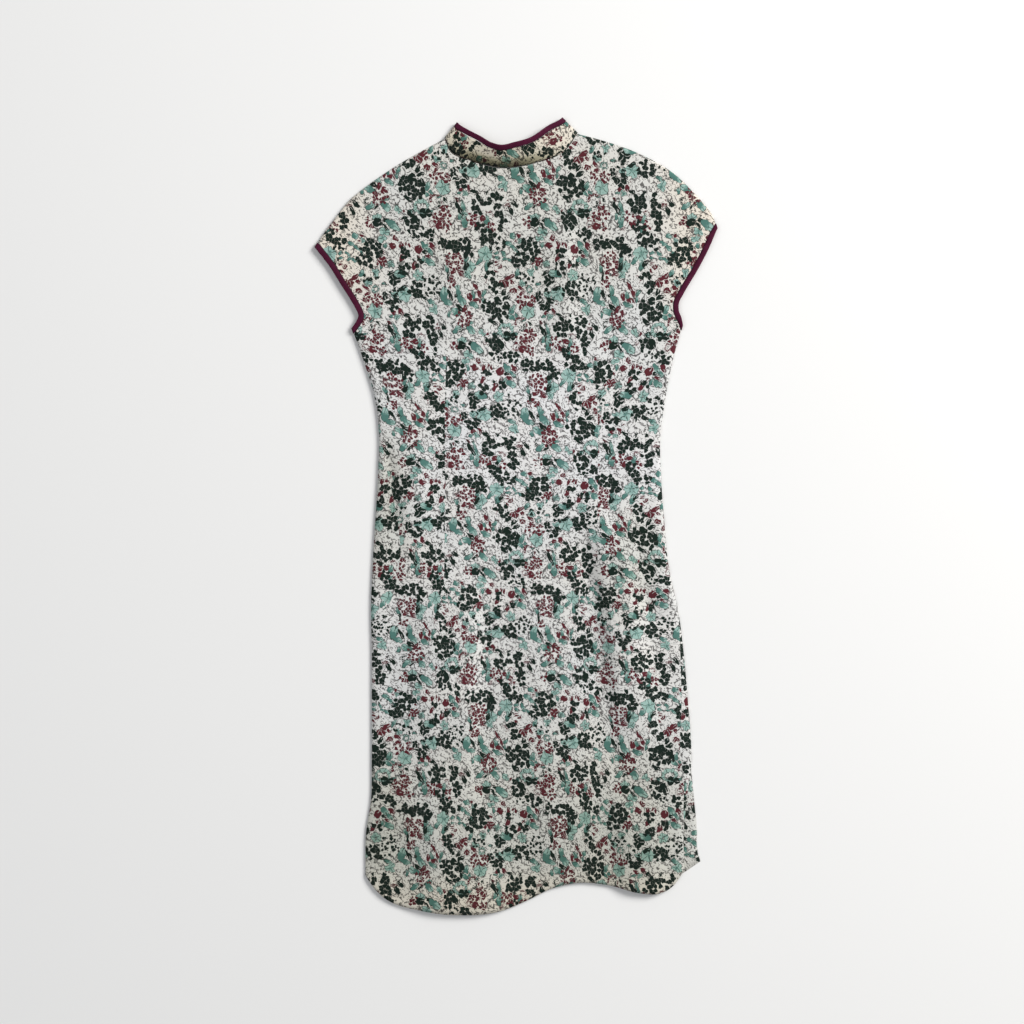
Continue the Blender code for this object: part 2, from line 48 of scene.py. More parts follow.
REPEAT_WIDTH, REPEAT_DROP, HALF_DROP = 200.0, 146.0, 100.0
CELL_LEFT, CELL_FOOT = -68.0, -130.0       # corner of the cell that the charts are wrapped into

GROUND = (0.622, 0.630, 0.626, 1.0)
GROUND_CREAM = (0.720, 0.655, 0.560, 1.0)
TEAL = (0.285, 0.428, 0.392, 1.0)
TEAL_DEEP = (0.068, 0.164, 0.143, 1.0)
WINE = (0.085, 0.014, 0.020, 1.0)
BOTTLE_GREEN = (0.003, 0.0125, 0.008, 1.0)
PEN = (0.022, 0.018, 0.018, 1.0)

# Each kind of motif is a fan of like leaves round one point: how many, the angle from each to the next, how
# far out they start as a share of their reach (-1: right across it), and their half width as a share of it
MOTIFS = {
    # kind: (leaves, step in degrees, start, half width)
    "leaf": (1, 360, -1.0, 0.52),
    "slim leaf": (1, 360, -1.0, 0.28),
    "blob": (1, 360, -1.0, 0.88),
    "pair": (2, 180, -0.1, 0.62),
    "heart": (2, 62, -0.25, 0.50),
    "trefoil": (3, 120, -0.05, 0.50),
    "quatrefoil": (4, 90, 0.00, 0.44),
    "blossom": (5, 72, 0.06, 0.40),
    "full blossom": (5, 72, -0.12, 0.50),
    "star": (6, 60, 0.06, 0.27),
    "ring": (7, 51.4, 0.40, 0.36),
    "fan": (3, 46, 0.04, 0.36),
    "sprig": (5, 30, 0.15, 0.15),
    "arc": (4, 44, 0.45, 0.30),
}
# A bunch is a round heap of whole petals instead: their radius as a share of the spacing of their middles
BUNCHES = {"bunch": 0.58, "small bunch": 0.53, "specks": 0.34}
PETAL_SPACING = {"bottle green": 5.2, "wine": 4.3}

# Where each screen's motifs lie: kind, across and up from the middle of the fan-shaped leaf, reach, heading
BOTTLE_GREEN_CHART = (
    ("bunch", -53, 21, 6.5, 20), ("bunch", -51, 12, 7.5, 80), ("bunch", -48, 3, 6.5, 10),
    ("leaf", -32, 23, 5, 130), ("leaf", -37, 15, 6, 115), ("bunch", -50, -5, 5, 30),
    ("bunch", -66, -18, 9.5, 10), ("small bunch", -53, -24, 7, 0), ("leaf", -64, -28, 4, 80),
    ("leaf", -66, -48, 5, 45), ("bunch", -17, -31, 13.5, 12), ("bunch", -22, -44, 7.5, 30),
    ("bunch", -32, -46, 6.5, 75), ("leaf", -31, -37, 4, 20), ("blob", -7, 1, 6.5, 20),
    ("slim leaf", 3, -4, 6, -55), ("leaf", 4, 4, 3, 45), ("sprig", 2, -51, 4, 60),
    ("leaf", 4, -59, 4.5, 35), ("bunch", 22, -54, 8, 0), ("small bunch", 24, -35, 6.5, 20),
    ("small bunch", 33, 6, 7.5, 10), ("bunch", 37, -3, 9, 40), ("specks", 40, -11, 7, 0),
    ("leaf", 43, 4, 6.5, -60), ("ring", 39, 13, 4.5, 0), ("pair", 56, 12, 8.5, 90),
    ("bunch", 53, -10, 6, 90), ("small bunch", 60, -15, 7, 30), ("small bunch", 77, -24, 8, 75),
    ("blob", 83, -27, 4.5, 0), ("bunch", 92, -25, 8.5, 50), ("bunch", 102, -25, 8.5, 95),
    ("blob", 109, -28, 4.5, 20), ("bunch", 110, -35, 6.5, 15), ("leaf", 104, -37, 5, 70),
    ("leaf", 103, -51, 6, 65), ("small bunch", 126, -6, 8, -70), ("blob", 50, -34, 3, 0),
    ("small bunch", 42, -47, 5.5, 0), ("leaf", 34, -44, 2.5, 120), ("slim leaf", 79, -62, 6, 85),
    ("small bunch", -60, -75, 7.5, 0), ("bunch", -66, -63, 7.5, 15), ("leaf", -50, -82, 5, 65),
    ("leaf", -47, -88, 6, 25), ("blob", -58, -92, 5, 0), ("bunch", -68, -100, 10, 20),
    ("bunch", -55, -105, 12, 5), ("leaf", -46, -98, 6, 110), ("leaf", -65, -117, 6.5, -35),
    ("specks", -26, -66, 7, 0), ("specks", -15, -65, 6, 0), ("trefoil", 8, -67, 8.5, 0),
    ("leaf", 18, -77, 6, 25), ("pair", -6, -86, 6, 5), ("leaf", -3, -93, 4.5, 10),
    ("leaf", 9, -91, 6, -35), ("bunch", 3, -98, 7.5, 30), ("specks", 6, -80, 6, 0),
    ("leaf", 19, -109, 4.5, -20), ("leaf", 23, -115, 5.5, -60), ("bunch", 21, -126, 10, 0),
    ("small bunch", 32, -121, 7.5, 15), ("leaf", 34, -110, 3, 70), ("arc", -8, -119, 4.5, -60),
    ("slim leaf", -2, -128, 10, -62), ("leaf", -18, -119, 3.5, -50), ("arc", -30, -123, 5.5, -40),
    ("bunch", 36, -81, 11, 20), ("leaf", 45, -89, 4, -30), ("specks", 55, -73, 14, 0),
    ("bunch", 48, -117, 7, 70), ("slim leaf", 80, -86, 7.5, -65), ("leaf", 92, -100, 6, -35),
    ("leaf", 88, -86, 3, 40), ("arc", 84, -120, 5.5, 150), ("slim leaf", 94, -126, 5, 40),
)
TEAL_CHART = (
    ("leaf", -68, 4, 5.5, 80), ("leaf", -69, -8, 4, 40), ("fan", -6, 4, 8.5, 95),
    ("leaf", 13, -2, 11.5, -38), ("pair", 2, -10, 7, 70), ("pair", -2, -18, 6, 110),
    ("leaf", 1, -26, 4, 85), ("blob", -36, -15, 4.5, 0), ("trefoil", -27, -21, 4, 0),
    ("leaf", -42, -24, 5, -20), ("leaf", -36, -29, 5.5, -40), ("leaf", -30, -36, 4.5, -60),
    ("full blossom", -71, -36, 10, 20), ("leaf", -70, -50, 7, 75), ("leaf", -48, -37, 5, -60),
    ("leaf", -46, -42, 4, 10), ("leaf", -57, -35, 3.5, 10), ("leaf", -57, -41, 3.5, -10),
    ("leaf", -40, -44, 4.5, -30), ("leaf", -7, -51, 4, 80), ("quatrefoil", 5, -48, 5.5, 20),
    ("leaf", 16, -60, 8.5, 165), ("trefoil", -15, -58, 5.5, 30), ("leaf", -32, -59, 5.5, 60),
    ("ring", 48, 19, 8.5, 0), ("leaf", 64, 15, 3.5, 30), ("blob", 37, 14, 3, 0),
    ("leaf", 51, -27, 7, -55), ("leaf", 57, -34, 6, -50), ("leaf", 55, -46, 8.5, -25),
    ("leaf", 47, -43, 5, 60), ("pair", 104, 12, 5, 60), ("leaf", 104, 2, 8, 88), ("leaf", 98, 8, 4.5, 80),
    ("leaf", 121, -44, 7, 50), ("full blossom", 108, -51, 8, 10), ("quatrefoil", 105, -61, 5.5, 0),
    ("leaf", 104, -43, 4.5, 60), ("leaf", 77, -54, 4.5, 110), ("blossom", 39, -62, 8, 30),
    ("trefoil", -26, -71, 5.5, 0), ("ring", -17, -78, 5, 0), ("leaf", -6, -72, 3, 0),
    ("trefoil", 6, -85, 5.5, 40), ("full blossom", 19, -84, 9.5, 0), ("leaf", -40, -103, 7.5, 70),
    ("leaf", -42, -111, 6, 150), ("leaf", -35, -110, 5, -45), ("full blossom", -20, -104, 9.5, 30),
    ("leaf", -26, -115, 3, 0), ("trefoil", 7, -111, 4.5, 0), ("leaf", 0, -110, 3.5, 20),
    ("slim leaf", 4, -127, 10, 103), ("ring", -48, -127, 10.5, 20), ("leaf", 71, -84, 9.5, 75),
    ("leaf", 76, -94, 7, -15), ("leaf", 91, -80, 7, 100), ("leaf", 95, -92, 10, -50),
    ("leaf", 86, -105, 7.5, 155), ("leaf", 77, -108, 4, 85), ("leaf", 53, -93, 5.5, -20),
    ("trefoil", 56, -102, 7.5, 60), ("leaf", 111, -85, 5, 110), ("leaf", 112, -97, 7, -25),
    ("leaf", 125, -83, 5, 60), ("leaf", 123, -90, 4, 80), ("leaf", 86, -126, 7.5, 35),
    ("leaf", 106, -126, 7.5, -45), ("pair", 21, 16, 5.5, 40), ("leaf", 107, -118, 3.5, 0),
)
WINE_CHART = (
    ("arc", -64, 10, 6, 60), ("small bunch", -62, -3, 6.5, 0), ("blob", -73, 6, 4.5, 0),
    ("small bunch", -16, 1, 7, 175), ("blob", -28, -15, 3, 0), ("leaf", -32, -21, 2.5, 20),
    ("heart", 13, -19, 6.5, 40), ("blob", 10, -26, 5, 0), ("leaf", 21, -26, 5, 82),
    ("leaf", 27, -24, 4, 75), ("leaf", 31, -26, 4.5, 95), ("leaf", 20, -41, 6.5, 58),
    ("leaf", -3, -34, 3.5, -40), ("trefoil", -5, -45, 7, 30), ("leaf", -11, -47, 4, 45),
    ("slim leaf", -57, -46, 4.5, 0), ("slim leaf", -57, -49, 4.5, 5), ("heart", -53, -53, 5, 120),
    ("leaf", -58, -57, 4, -40), ("fan", -50, -66, 11, -70), ("leaf", -42, -64, 8, 30),
    ("leaf", -39, -69, 5, -50), ("bunch", 80, 12, 8.5, 80), ("small bunch", 69, 7, 7, 0),
    ("leaf", 75, 5, 4, -30), ("ring", 63, -1, 5.5, 0), ("blob", 71, -3, 5, 0),
    ("small bunch", 81, -4, 7, 20), ("small bunch", 114, 5, 8.5, 10), ("blob", 120, -3, 4.5, 0),
    ("sprig", 105, -4, 7, -60), ("leaf", 28, 15, 3.5, 60), ("ring", 24, 5, 3.5, 0),
    ("blob", 42, -31, 6, 60), ("leaf", 60, -27, 5.5, -55), ("leaf", 54, -39, 4.5, -20),
    ("leaf", 35, -50, 6, 65), ("slim leaf", 41, -41, 5, 58), ("small bunch", 90, -45, 12.5, 10),
    ("star", 79, -44, 5, 0), ("leaf", 86, -58, 5, 25), ("trefoil", 95, -59, 5, 10),
    ("leaf", 98, -62, 3, 0), ("heart", -38, -78, 6.5, -90), ("leaf", -28, -77, 6, -35),
    ("leaf", -27, -83, 4.5, 20), ("small bunch", -28, -90, 7, 20), ("leaf", -29, -98, 3.5, 50),
    ("small bunch", -15, -91, 7, 0), ("leaf", -17, -97, 4.5, -20), ("blob", 3, -106, 3.5, 0),
    ("leaf", 12, -105, 5.5, -70), ("arc", -31, -118, 8.5, 120), ("leaf", -23, -121, 3, 90),
    ("leaf", -24, -127, 4, 30), ("leaf", 17, -96, 2, 50), ("small bunch", 83, -70, 7, 0),
    ("arc", 124, -67, 6.5, 30), ("slim leaf", 115, -76, 8, -55), ("leaf", 119, -84, 5, -80),
    ("leaf", 106, -87, 6, 100), ("leaf", 115, -91, 5, 0), ("slim leaf", 119, -93, 5, -70),
    ("leaf", 99, -102, 5.5, 60), ("blob", 105, -106, 3.2, 0), ("small bunch", 98, -113, 11.5, 15),
    ("fan", 59, -127, 6, 90), ("blob", 60, -119, 1.6, 0), ("sprig", 94, -66, 5, 50),
    ("leaf", -4, -118, 3.5, -40),
)
PEN_CHART = (
    ("blob", -19, -3, 14, 20), ("leaf", -38, -2, 14, -40), ("full blossom", 0, 14, 8, 90),
    ("leaf", 15, 0, 16, -45), ("sprig", -6, -8, 12, -125), ("blossom", 31, -100, 11, 10),
    ("full blossom", 61, -61, 9, 0), ("sprig", 62, -42, 18, 8), ("sprig", 90, 4, 13, -35),
    ("fan", 113, -77, 9, 130), ("blob", 65, -116, 4, 0), ("blossom", -63, -126, 7, 0),
    ("blossom", 117, -118, 7, 0), ("blossom", -35, 8, 6, 40), ("trefoil", -25, -2, 4, 0),
    ("leaf", 42, -58, 16, 12), ("full blossom", 118, -14, 8, 0), ("blossom", 45, -104, 7, 0),
    ("blossom", 68, -20, 7, 30), ("fan", -48, -30, 9, -30), ("blossom", 8, -36, 6, 0),
    ("full blossom", -74, -86, 8, 0), ("leaf", 66, -88, 6, 60), ("blossom", 105, -73, 7, 0),
    ("trefoil", -5, -125, 8, 40), ("fan", -20, -52, 8, 60), ("blossom", 88, 15, 6, 0),
    ("leaf", 24, 0, 5, 60),
)
# The flat inks in the order they are printed: name, chart, colour, and how far the ink spreads past its edge
SCREENS = (
    ("teal", TEAL_CHART, TEAL, 0.15),
    ("wine", WINE_CHART, WINE, -0.02),
    ("bottle green", BOTTLE_GREEN_CHART, BOTTLE_GREEN, 0.37),
)

# A leaf's half width, half length and middle, as shares: each leaf draws its own between least and most
LEAF_WIDTH_LEAST, LEAF_WIDTH_SPREAD = 0.80, 0.34
LEAF_HALF_LEAST, LEAF_HALF_SPREAD = 0.42, 0.10
LEAF_MIDDLE = 0.48
# A petal's radius likewise, how much less it is at a bunch's rim, and the line of ground round each petal
PETAL_LEAST, PETAL_SPREAD, RIM_SHRINK = 0.92, 0.30, 0.12
PARTING_SLOPE, PARTING_WIDTH = 2.4, 0.04
FAR = 9.0              # further than any motif reaches, in shares of its reach
BUNCH_EDGE = 9.0       # how sharply a bunch ends at its reach

# Noise is given by its scale per millimetre. The sway bends each outline, and the mottling breaks up lines.
SWAY_SCALE, SWAY_REACH = 0.17, 4.4
MOTTLE_SCALE, DOT_SCALE = 0.32, 0.23
TENDRIL_SCALE, TENDRIL_LINES = 2.2, 18.0
# Soft edges, from where a mark ends to where it is full. Lines and dots: by the distance from their middle.
PEN_LINE, PEN_DOT, LEAF_RIB = (0.80, 0.35), (0.20, 0.08), (0.62, 0.22)
LEAF_EDGE, OUTLINE, TENDRIL = (0.58, 0.14), (0.50, 0.20), (0.30, 0.12)
# A leaf's rib and its deeper shade: by the way along the leaf, which the mottling moves for the shade
RIB_START, LEAF_SHADE, SHADE_MOTTLE = (0.05, 0.35), (0.95, 0.35), 0.9
# Flat ink and the lines on it: by the way into the ink, in millimetres. The pen's outline lies outside it.
INK_EDGE, LEAF_EDGE_FROM, OUTLINE_AWAY = 0.45, (-0.7, -0.3), 1.2
# Soft edges in the mottling: a line is broken off below the first and whole above the second
PEN_BREAKS, TENDRIL_BREAKS = (0.30, 0.42), (0.42, 0.47)
LEAF_EDGE_BREAKS, OUTLINE_BREAKS = (0.33, 0.44), (0.50, 0.56)
# The share of the dots that is printed, how strong each kind of line is, and how much ink a rib leaves out
DOT_SHARE, PEN_STRENGTH, RIB_STRENGTH, RIB_GROUND, OUTLINE_STRENGTH = 0.5, 0.85, 0.85, 0.6, 0.8


def wire(tree, kind, values=(), **settings):
    """A node and its inputs in order: a socket is linked, a number is set and None is left alone."""
    made = tree.nodes.new(kind)
    for name, value in settings.items():
        setattr(made, name, value)
    for place, value in enumerate(values):
        if isinstance(value, bpy.types.NodeSocket):
            tree.links.new(value, made.inputs[place])
        elif value is not None:
            made.inputs[place].default_value = value
    return made


def calc(tree, operation, *values):
    """One sum on numbers, and its result."""
    return wire(tree, "ShaderNodeMath", values, operation=operation).outputs[0]


def turn(tree, operation, *values):
    """One sum on vectors, and its result."""
    made = wire(tree, "ShaderNodeVectorMath", values, operation=operation)
    return made.outputs["Value" if operation == "LENGTH" else "Vector"]


def soft_step(tree, value, low, high):
    """0 below `low`, 1 above `high` and a smooth step between, or the reverse where low is above high."""
    made = wire(tree, "ShaderNodeMapRange", (value, low, high, 0.0, 1.0), interpolation_type="SMOOTHSTEP")
    return made.outputs[0]


def blend(tree, share, low, high, kind="RGBA", way="MIX"):
    """low where share is 0 and high where it is 1, or, by the way MULTIPLY, low times high there."""
    number = ("FLOAT", "VECTOR", "RGBA").index(kind)
    unused = (None,) * (1 + 2 * number)
    made = wire(tree, "ShaderNodeMix", (share, *unused, low, high), data_type=kind, blend_type=way)
    return made.outputs[number]


def new_material(name):
    """A new material and its node tree."""
    material = bpy.data.materials.new(name)
    material.use_nodes = True
    return material, material.node_tree


def shader_group(name, inputs, outputs):
    """An empty node group with its named sockets; returns the tree, its inputs and its outputs."""
    tree = bpy.data.node_groups.new(name, "ShaderNodeTree")
    for way, sockets in (("INPUT", inputs), ("OUTPUT", outputs)):
        for label, kind in sockets:
            tree.interface.new_socket(label, in_out=way, socket_type="NodeSocket" + kind)
    return tree, tree.nodes.new("NodeGroupInput").outputs, tree.nodes.new("NodeGroupOutput").inputs


def placed(tree, group, *values):
    """A group's node, with its inputs in order; returns its outputs."""
    return wire(tree, "ShaderNodeGroup", values, node_tree=group).outputs


def parts_of(tree, value):
    """The x, y and z of a vector."""
    return wire(tree, "ShaderNodeSeparateXYZ", (value,)).outputs


def vector(tree, *values):
    """A vector from its x, y and z."""
    return wire(tree, "ShaderNodeCombineXYZ", values).outputs[0]


def noise(tree, place, scale, detail=1.0, roughness=0.5, output="Fac"):
    """Flat noise at a place on the cloth, at so many grains to the millimetre."""
    return wire(tree, "ShaderNodeTexNoise", (place, None, scale, detail, roughness),
                noise_dimensions="2D").outputs[output]


def attribute(tree, name, output):
    """A value or a vector that a piece carries for each of its points."""
    return wire(tree, "ShaderNodeAttribute", attribute_name=name).outputs[output]


def product(tree, *values):
    """All of the values multiplied together."""
    whole = values[0]
    for value in values[1:]:
        whole = calc(tree, "MULTIPLY", whole, value)
    return whole


# What a leaf's group says of a point: its depth in the leaf in millimetres, its ways along and across the
# leaf in shares of the motif's reach, and that reach
LEAF_RESULTS = ("Depth", "Along", "Across", "Reach")


def make_leaves_group():
    """How far inside a motif a point lies, in millimetres, and where in its leaf.

    The angle round the motif picks the nearest leaf of the fan. A leaf is an ellipse along its own ray, each
    a little narrower or wider than the next.
    """
    tree, given, result = shader_group(
        "motif of leaves", (("Spot", "Vector"), ("Fan", "Vector"), ("Leaf", "Vector")),
        [(label, "Float") for label in LEAF_RESULTS])
    spot = parts_of(tree, given["Spot"])
    heading, leaves, step = parts_of(tree, given["Fan"])
    start, plump, reach = parts_of(tree, given["Leaf"])
    out = turn(tree, "LENGTH", given["Spot"])
    angle = calc(tree, "WRAP", calc(tree, "SUBTRACT", calc(tree, "ARCTAN2", spot[1], spot[0]), heading),
                 np.pi, -np.pi)
    half = product(tree, calc(tree, "SUBTRACT", leaves, 1.0), 0.5)
    number = calc(tree, "ROUND", calc(tree, "ADD", calc(tree, "DIVIDE", angle, step), half))
    number = calc(tree, "MINIMUM", calc(tree, "MAXIMUM", number, 0.0), product(tree, half, 2.0))
    off = calc(tree, "SUBTRACT", angle, product(tree, calc(tree, "SUBTRACT", number, half), step))
    along = product(tree, out, calc(tree, "COSINE", off))
    across = product(tree, out, calc(tree, "SINE", off))
    luck = wire(tree, "ShaderNodeTexWhiteNoise", (vector(tree, number, heading, reach),),
                noise_dimensions="3D").outputs["Value"]
    width = product(tree, plump, calc(tree, "MULTIPLY_ADD", luck, LEAF_WIDTH_SPREAD, LEAF_WIDTH_LEAST))
    half_length = calc(tree, "MULTIPLY_ADD", start, -0.5,
                       calc(tree, "MULTIPLY_ADD", luck, LEAF_HALF_SPREAD, LEAF_HALF_LEAST))
    middle = calc(tree, "MULTIPLY_ADD", start, 0.5, LEAF_MIDDLE)
    share = vector(tree, calc(tree, "DIVIDE", calc(tree, "SUBTRACT", along, middle), half_length),
                   calc(tree, "DIVIDE", across, width), 0.0)
    inside = calc(tree, "SUBTRACT", 1.0, turn(tree, "LENGTH", share))
    depth = product(tree, inside, product(tree, calc(tree, "MINIMUM", width, half_length), reach))
    for label, socket in zip(LEAF_RESULTS, (depth, along, across, reach)):
        tree.links.new(socket, result[label])
    return tree


def chart_rows(chart):
    """Each motif of a chart, and its copies from the neighbouring repeats that reach into the cell."""
    for kind, across, up, reach, heading in chart:
        for sideways in (-2, -1, 0, 1, 2):
            for drop in (-1, 0, 1):
                x = across + sideways * REPEAT_WIDTH + drop * HALF_DROP
                y = up - drop * REPEAT_DROP
                near_x = CELL_LEFT - reach < x < CELL_LEFT + REPEAT_WIDTH + reach
                near_y = CELL_FOOT - reach < y < CELL_FOOT + REPEAT_DROP + reach
                if near_x and near_y:
                    yield kind, x, y, reach, heading


def make_repeat_group():
    """A place on the cloth, moved by whole repeats into the cell that the charts cover."""
    tree, given, result = shader_group("one repeat", (("Cloth", "Vector"),), (("Cell", "Vector"),))
    x, y, _ = parts_of(tree, given["Cloth"])
    drop = calc(tree, "FLOOR", calc(tree, "MULTIPLY_ADD", y, 1.0 / REPEAT_DROP, -CELL_FOOT / REPEAT_DROP))
    cell_x = calc(tree, "WRAP", calc(tree, "MULTIPLY_ADD", drop, HALF_DROP, x), CELL_LEFT + REPEAT_WIDTH,
                  CELL_LEFT)
    cell_y = calc(tree, "MULTIPLY_ADD", drop, -REPEAT_DROP, y)
    tree.links.new(vector(tree, cell_x, cell_y, 0.0), result["Cell"])
    return tree


def from_middle(tree, place, x, y, reach):
    """The way from a motif's middle to a place, in shares of the motif's reach."""
    return turn(tree, "MULTIPLY_ADD", place, (1.0 / reach, 1.0 / reach, 0.0), (-x / reach, -y / reach, 0.0))


def make_leaf_screen(name, chart, leaves_group):
    """One ink's leaves: of all their fans, the one whose middle is nearest, in shares of its reach."""
    tree, given, result = shader_group(name + " leaves", (("Cell", "Vector"),),
                                       [(label, "Float") for label in LEAF_RESULTS])
    nearest, spot, fan, leaf = FAR, (FAR, FAR, 0.0), (0.0, 1.0, 1.0), (-1.0, 0.5, 1.0)
    for kind, x, y, reach, heading in chart_rows(chart):
        if kind in BUNCHES:
            continue
        leaves, step, start, width = MOTIFS[kind]
        here = from_middle(tree, given["Cell"], x, y, reach)
        away = turn(tree, "LENGTH", here)
        nearer = calc(tree, "LESS_THAN", away, nearest)
        spot = blend(tree, nearer, spot, here, "VECTOR")
        fan = blend(tree, nearer, fan, (np.radians(heading), leaves, np.radians(step)), "VECTOR")
        leaf = blend(tree, nearer, leaf, (start, width, reach), "VECTOR")
        nearest = calc(tree, "MINIMUM", away, nearest)
    drawn = placed(tree, leaves_group, spot, fan, leaf)
    for label in LEAF_RESULTS:
        tree.links.new(drawn[label], result[label])
    return tree


def make_bunch_screen(name, chart, repeat_group):
    """One ink's bunches: how far inside a petal a point lies, in millimetres.

    Petals lie all over at an uneven spacing. Those whose middle is within the reach of a bunch are printed,
    whole, and smaller towards its rim. A line of ground parts each from the next.
    """
    tree, given, result = shader_group(name + " bunches", (("Cloth", "Vector"),), (("Depth", "Float"),))
    grain = (given["Cloth"], None, 1.0 / PETAL_SPACING[name])
    petals = wire(tree, "ShaderNodeTexVoronoi", grain, voronoi_dimensions="2D").outputs
    parting = wire(tree, "ShaderNodeTexVoronoi", grain, voronoi_dimensions="2D",
                   feature="DISTANCE_TO_EDGE").outputs["Distance"]
    middle = placed(tree, repeat_group, petals["Position"])["Cell"]
    nearest, fullness = FAR, 0.5
    for kind, x, y, reach, _ in chart_rows(chart):
        if kind not in BUNCHES:
            continue
        away = turn(tree, "LENGTH", from_middle(tree, middle, x, y, reach))
        fullness = blend(tree, calc(tree, "LESS_THAN", away, nearest), fullness, BUNCHES[kind], "FLOAT")
        nearest = calc(tree, "MINIMUM", away, nearest)
    luck = parts_of(tree, petals["Color"])[0]
    share = calc(tree, "MULTIPLY_ADD", nearest, -RIM_SHRINK,
                 calc(tree, "MULTIPLY_ADD", luck, PETAL_SPREAD, PETAL_LEAST))
    in_petal = calc(tree, "SUBTRACT", product(tree, fullness, share), petals["Distance"])
    beyond_line = calc(tree, "MULTIPLY_ADD", parting, PARTING_SLOPE, -PARTING_WIDTH)
    in_bunch = calc(tree, "MULTIPLY_ADD", nearest, -BUNCH_EDGE, BUNCH_EDGE)
    inside = calc(tree, "MINIMUM", calc(tree, "MINIMUM", in_petal, beyond_line), in_bunch)
    tree.links.new(product(tree, inside, PETAL_SPACING[name]), result["Depth"])
    return tree


def tendrils(tree, cloth):
    """Fine curling lines that repeat with the design: level lines of noise.

    The cloth is rolled up both ways, once round in each repeat, and the noise is read on that ring.
    """
    x, y, _ = parts_of(tree, cloth)
    upward = product(tree, y, 2 * np.pi / REPEAT_DROP)
    around = calc(tree, "MULTIPLY_ADD", upward, HALF_DROP / REPEAT_WIDTH,
                  product(tree, x, 2 * np.pi / REPEAT_WIDTH))
    up_sine = product(tree, calc(tree, "SINE", upward), REPEAT_DROP / REPEAT_WIDTH)
    up_cosine = product(tree, calc(tree, "COSINE", upward), REPEAT_DROP / REPEAT_WIDTH)
    ring = vector(tree, calc(tree, "COSINE", around), calc(tree, "SINE", around), up_cosine)
    height = wire(tree, "ShaderNodeTexNoise", (ring, up_sine, TENDRIL_SCALE, 1.0, 0.5),
                  noise_dimensions="4D").outputs["Fac"]
    return soft_step(tree, calc(tree, "PINGPONG", product(tree, height, TENDRIL_LINES), 1.0), *TENDRIL)


def pen_marks(tree, cloth, cell, mottle, leaves_group):
    """The pen's lines, which are outlines of its own motifs and tendrils, and those lines with its dots."""
    pen = placed(tree, make_leaf_screen("pen", PEN_CHART, leaves_group), cell)
    outline = soft_step(tree, calc(tree, "ABSOLUTE", pen["Depth"]), *PEN_LINE)
    curl = product(tree, tendrils(tree, cloth), soft_step(tree, mottle, *TENDRIL_BREAKS))
    line = calc(tree, "MAXIMUM", product(tree, outline, soft_step(tree, mottle, *PEN_BREAKS)), curl)
    dots = wire(tree, "ShaderNodeTexVoronoi", (cloth, None, DOT_SCALE), voronoi_dimensions="2D").outputs
    printed = calc(tree, "LESS_THAN", parts_of(tree, dots["Color"])[0], DOT_SHARE)
    dot = product(tree, soft_step(tree, dots["Distance"], *PEN_DOT), printed)
    return line, calc(tree, "MAXIMUM", line, dot)


def make_print_group():
    """The whole print, from a place on the flat cloth in millimetres: its colour, and its share of ink."""
    tree, given, result = shader_group("flower print", (("Cloth", "Vector"), ("Ground", "Color")),
                                       (("Colour", "Color"), ("Ink", "Float")))
    sway = noise(tree, given["Cloth"], SWAY_SCALE, roughness=0.6, output="Color")
    cloth = turn(tree, "MULTIPLY_ADD", turn(tree, "SUBTRACT", sway, (0.5, 0.5, 0.5)),
                 (SWAY_REACH, SWAY_REACH, 0.0), given["Cloth"])
    repeat_group = make_repeat_group()
    cell = placed(tree, repeat_group, cloth)["Cell"]
    leaves_group = make_leaves_group()
    mottle = noise(tree, given["Cloth"], MOTTLE_SCALE)
    ink, pen_share = pen_marks(tree, cloth, cell, mottle, leaves_group)
    colour = blend(tree, product(tree, pen_share, PEN_STRENGTH), given["Ground"], PEN)
    for name, chart, tint, spread_out in SCREENS:
        motif = placed(tree, make_leaf_screen(name, chart, leaves_group), cell)
        ink_edge = (-spread_out, INK_EDGE - spread_out)
        fill = soft_step(tree, motif["Depth"], *ink_edge)
        rib = product(tree, calc(tree, "ABSOLUTE", motif["Across"]), motif["Reach"])
        rib = product(tree, soft_step(tree, rib, *LEAF_RIB), soft_step(tree, motif["Along"], *RIB_START))
        if name == "teal":
            shade = calc(tree, "MULTIPLY_ADD", mottle, SHADE_MOTTLE, motif["Along"])
            tint = blend(tree, soft_step(tree, shade, *LEAF_SHADE), tint, TEAL_DEEP)
            edge = product(tree, soft_step(tree, calc(tree, "ABSOLUTE", motif["Depth"]), *LEAF_EDGE),
                           soft_step(tree, mottle, *LEAF_EDGE_BREAKS))
            drawn = product(tree, calc(tree, "MAXIMUM", rib, edge), RIB_STRENGTH,
                            soft_step(tree, motif["Depth"], *LEAF_EDGE_FROM))
            colour = blend(tree, fill, colour, tint)
            colour = blend(tree, drawn, colour, BOTTLE_GREEN)
        else:
            fill = product(tree, fill, calc(tree, "MULTIPLY_ADD", rib, -RIB_GROUND, 1.0))
            petal = placed(tree, make_bunch_screen(name, chart, repeat_group), cloth)["Depth"]
            fill = calc(tree, "MAXIMUM", fill, soft_step(tree, petal, *ink_edge))
            colour = blend(tree, fill, colour, tint)
        outline = calc(tree, "ABSOLUTE", calc(tree, "ADD", motif["Depth"], OUTLINE_AWAY + spread_out))
        outline = product(tree, soft_step(tree, outline, *OUTLINE), soft_step(tree, mottle, *OUTLINE_BREAKS))
        colour = blend(tree, product(tree, outline, OUTLINE_STRENGTH), colour, PEN)
        ink = calc(tree, "MAXIMUM", ink, fill)
    tree.links.new(colour, result["Colour"])
    tree.links.new(ink, result["Ink"])
    return tree


# A slub is a thick place along a thread: its grain across and along, and its share of the relief
SLUB_GRAIN, SLUB_HEIGHT, CROSSING_HEIGHT = (0.25, 2.2, 0.0), 0.8, 0.5


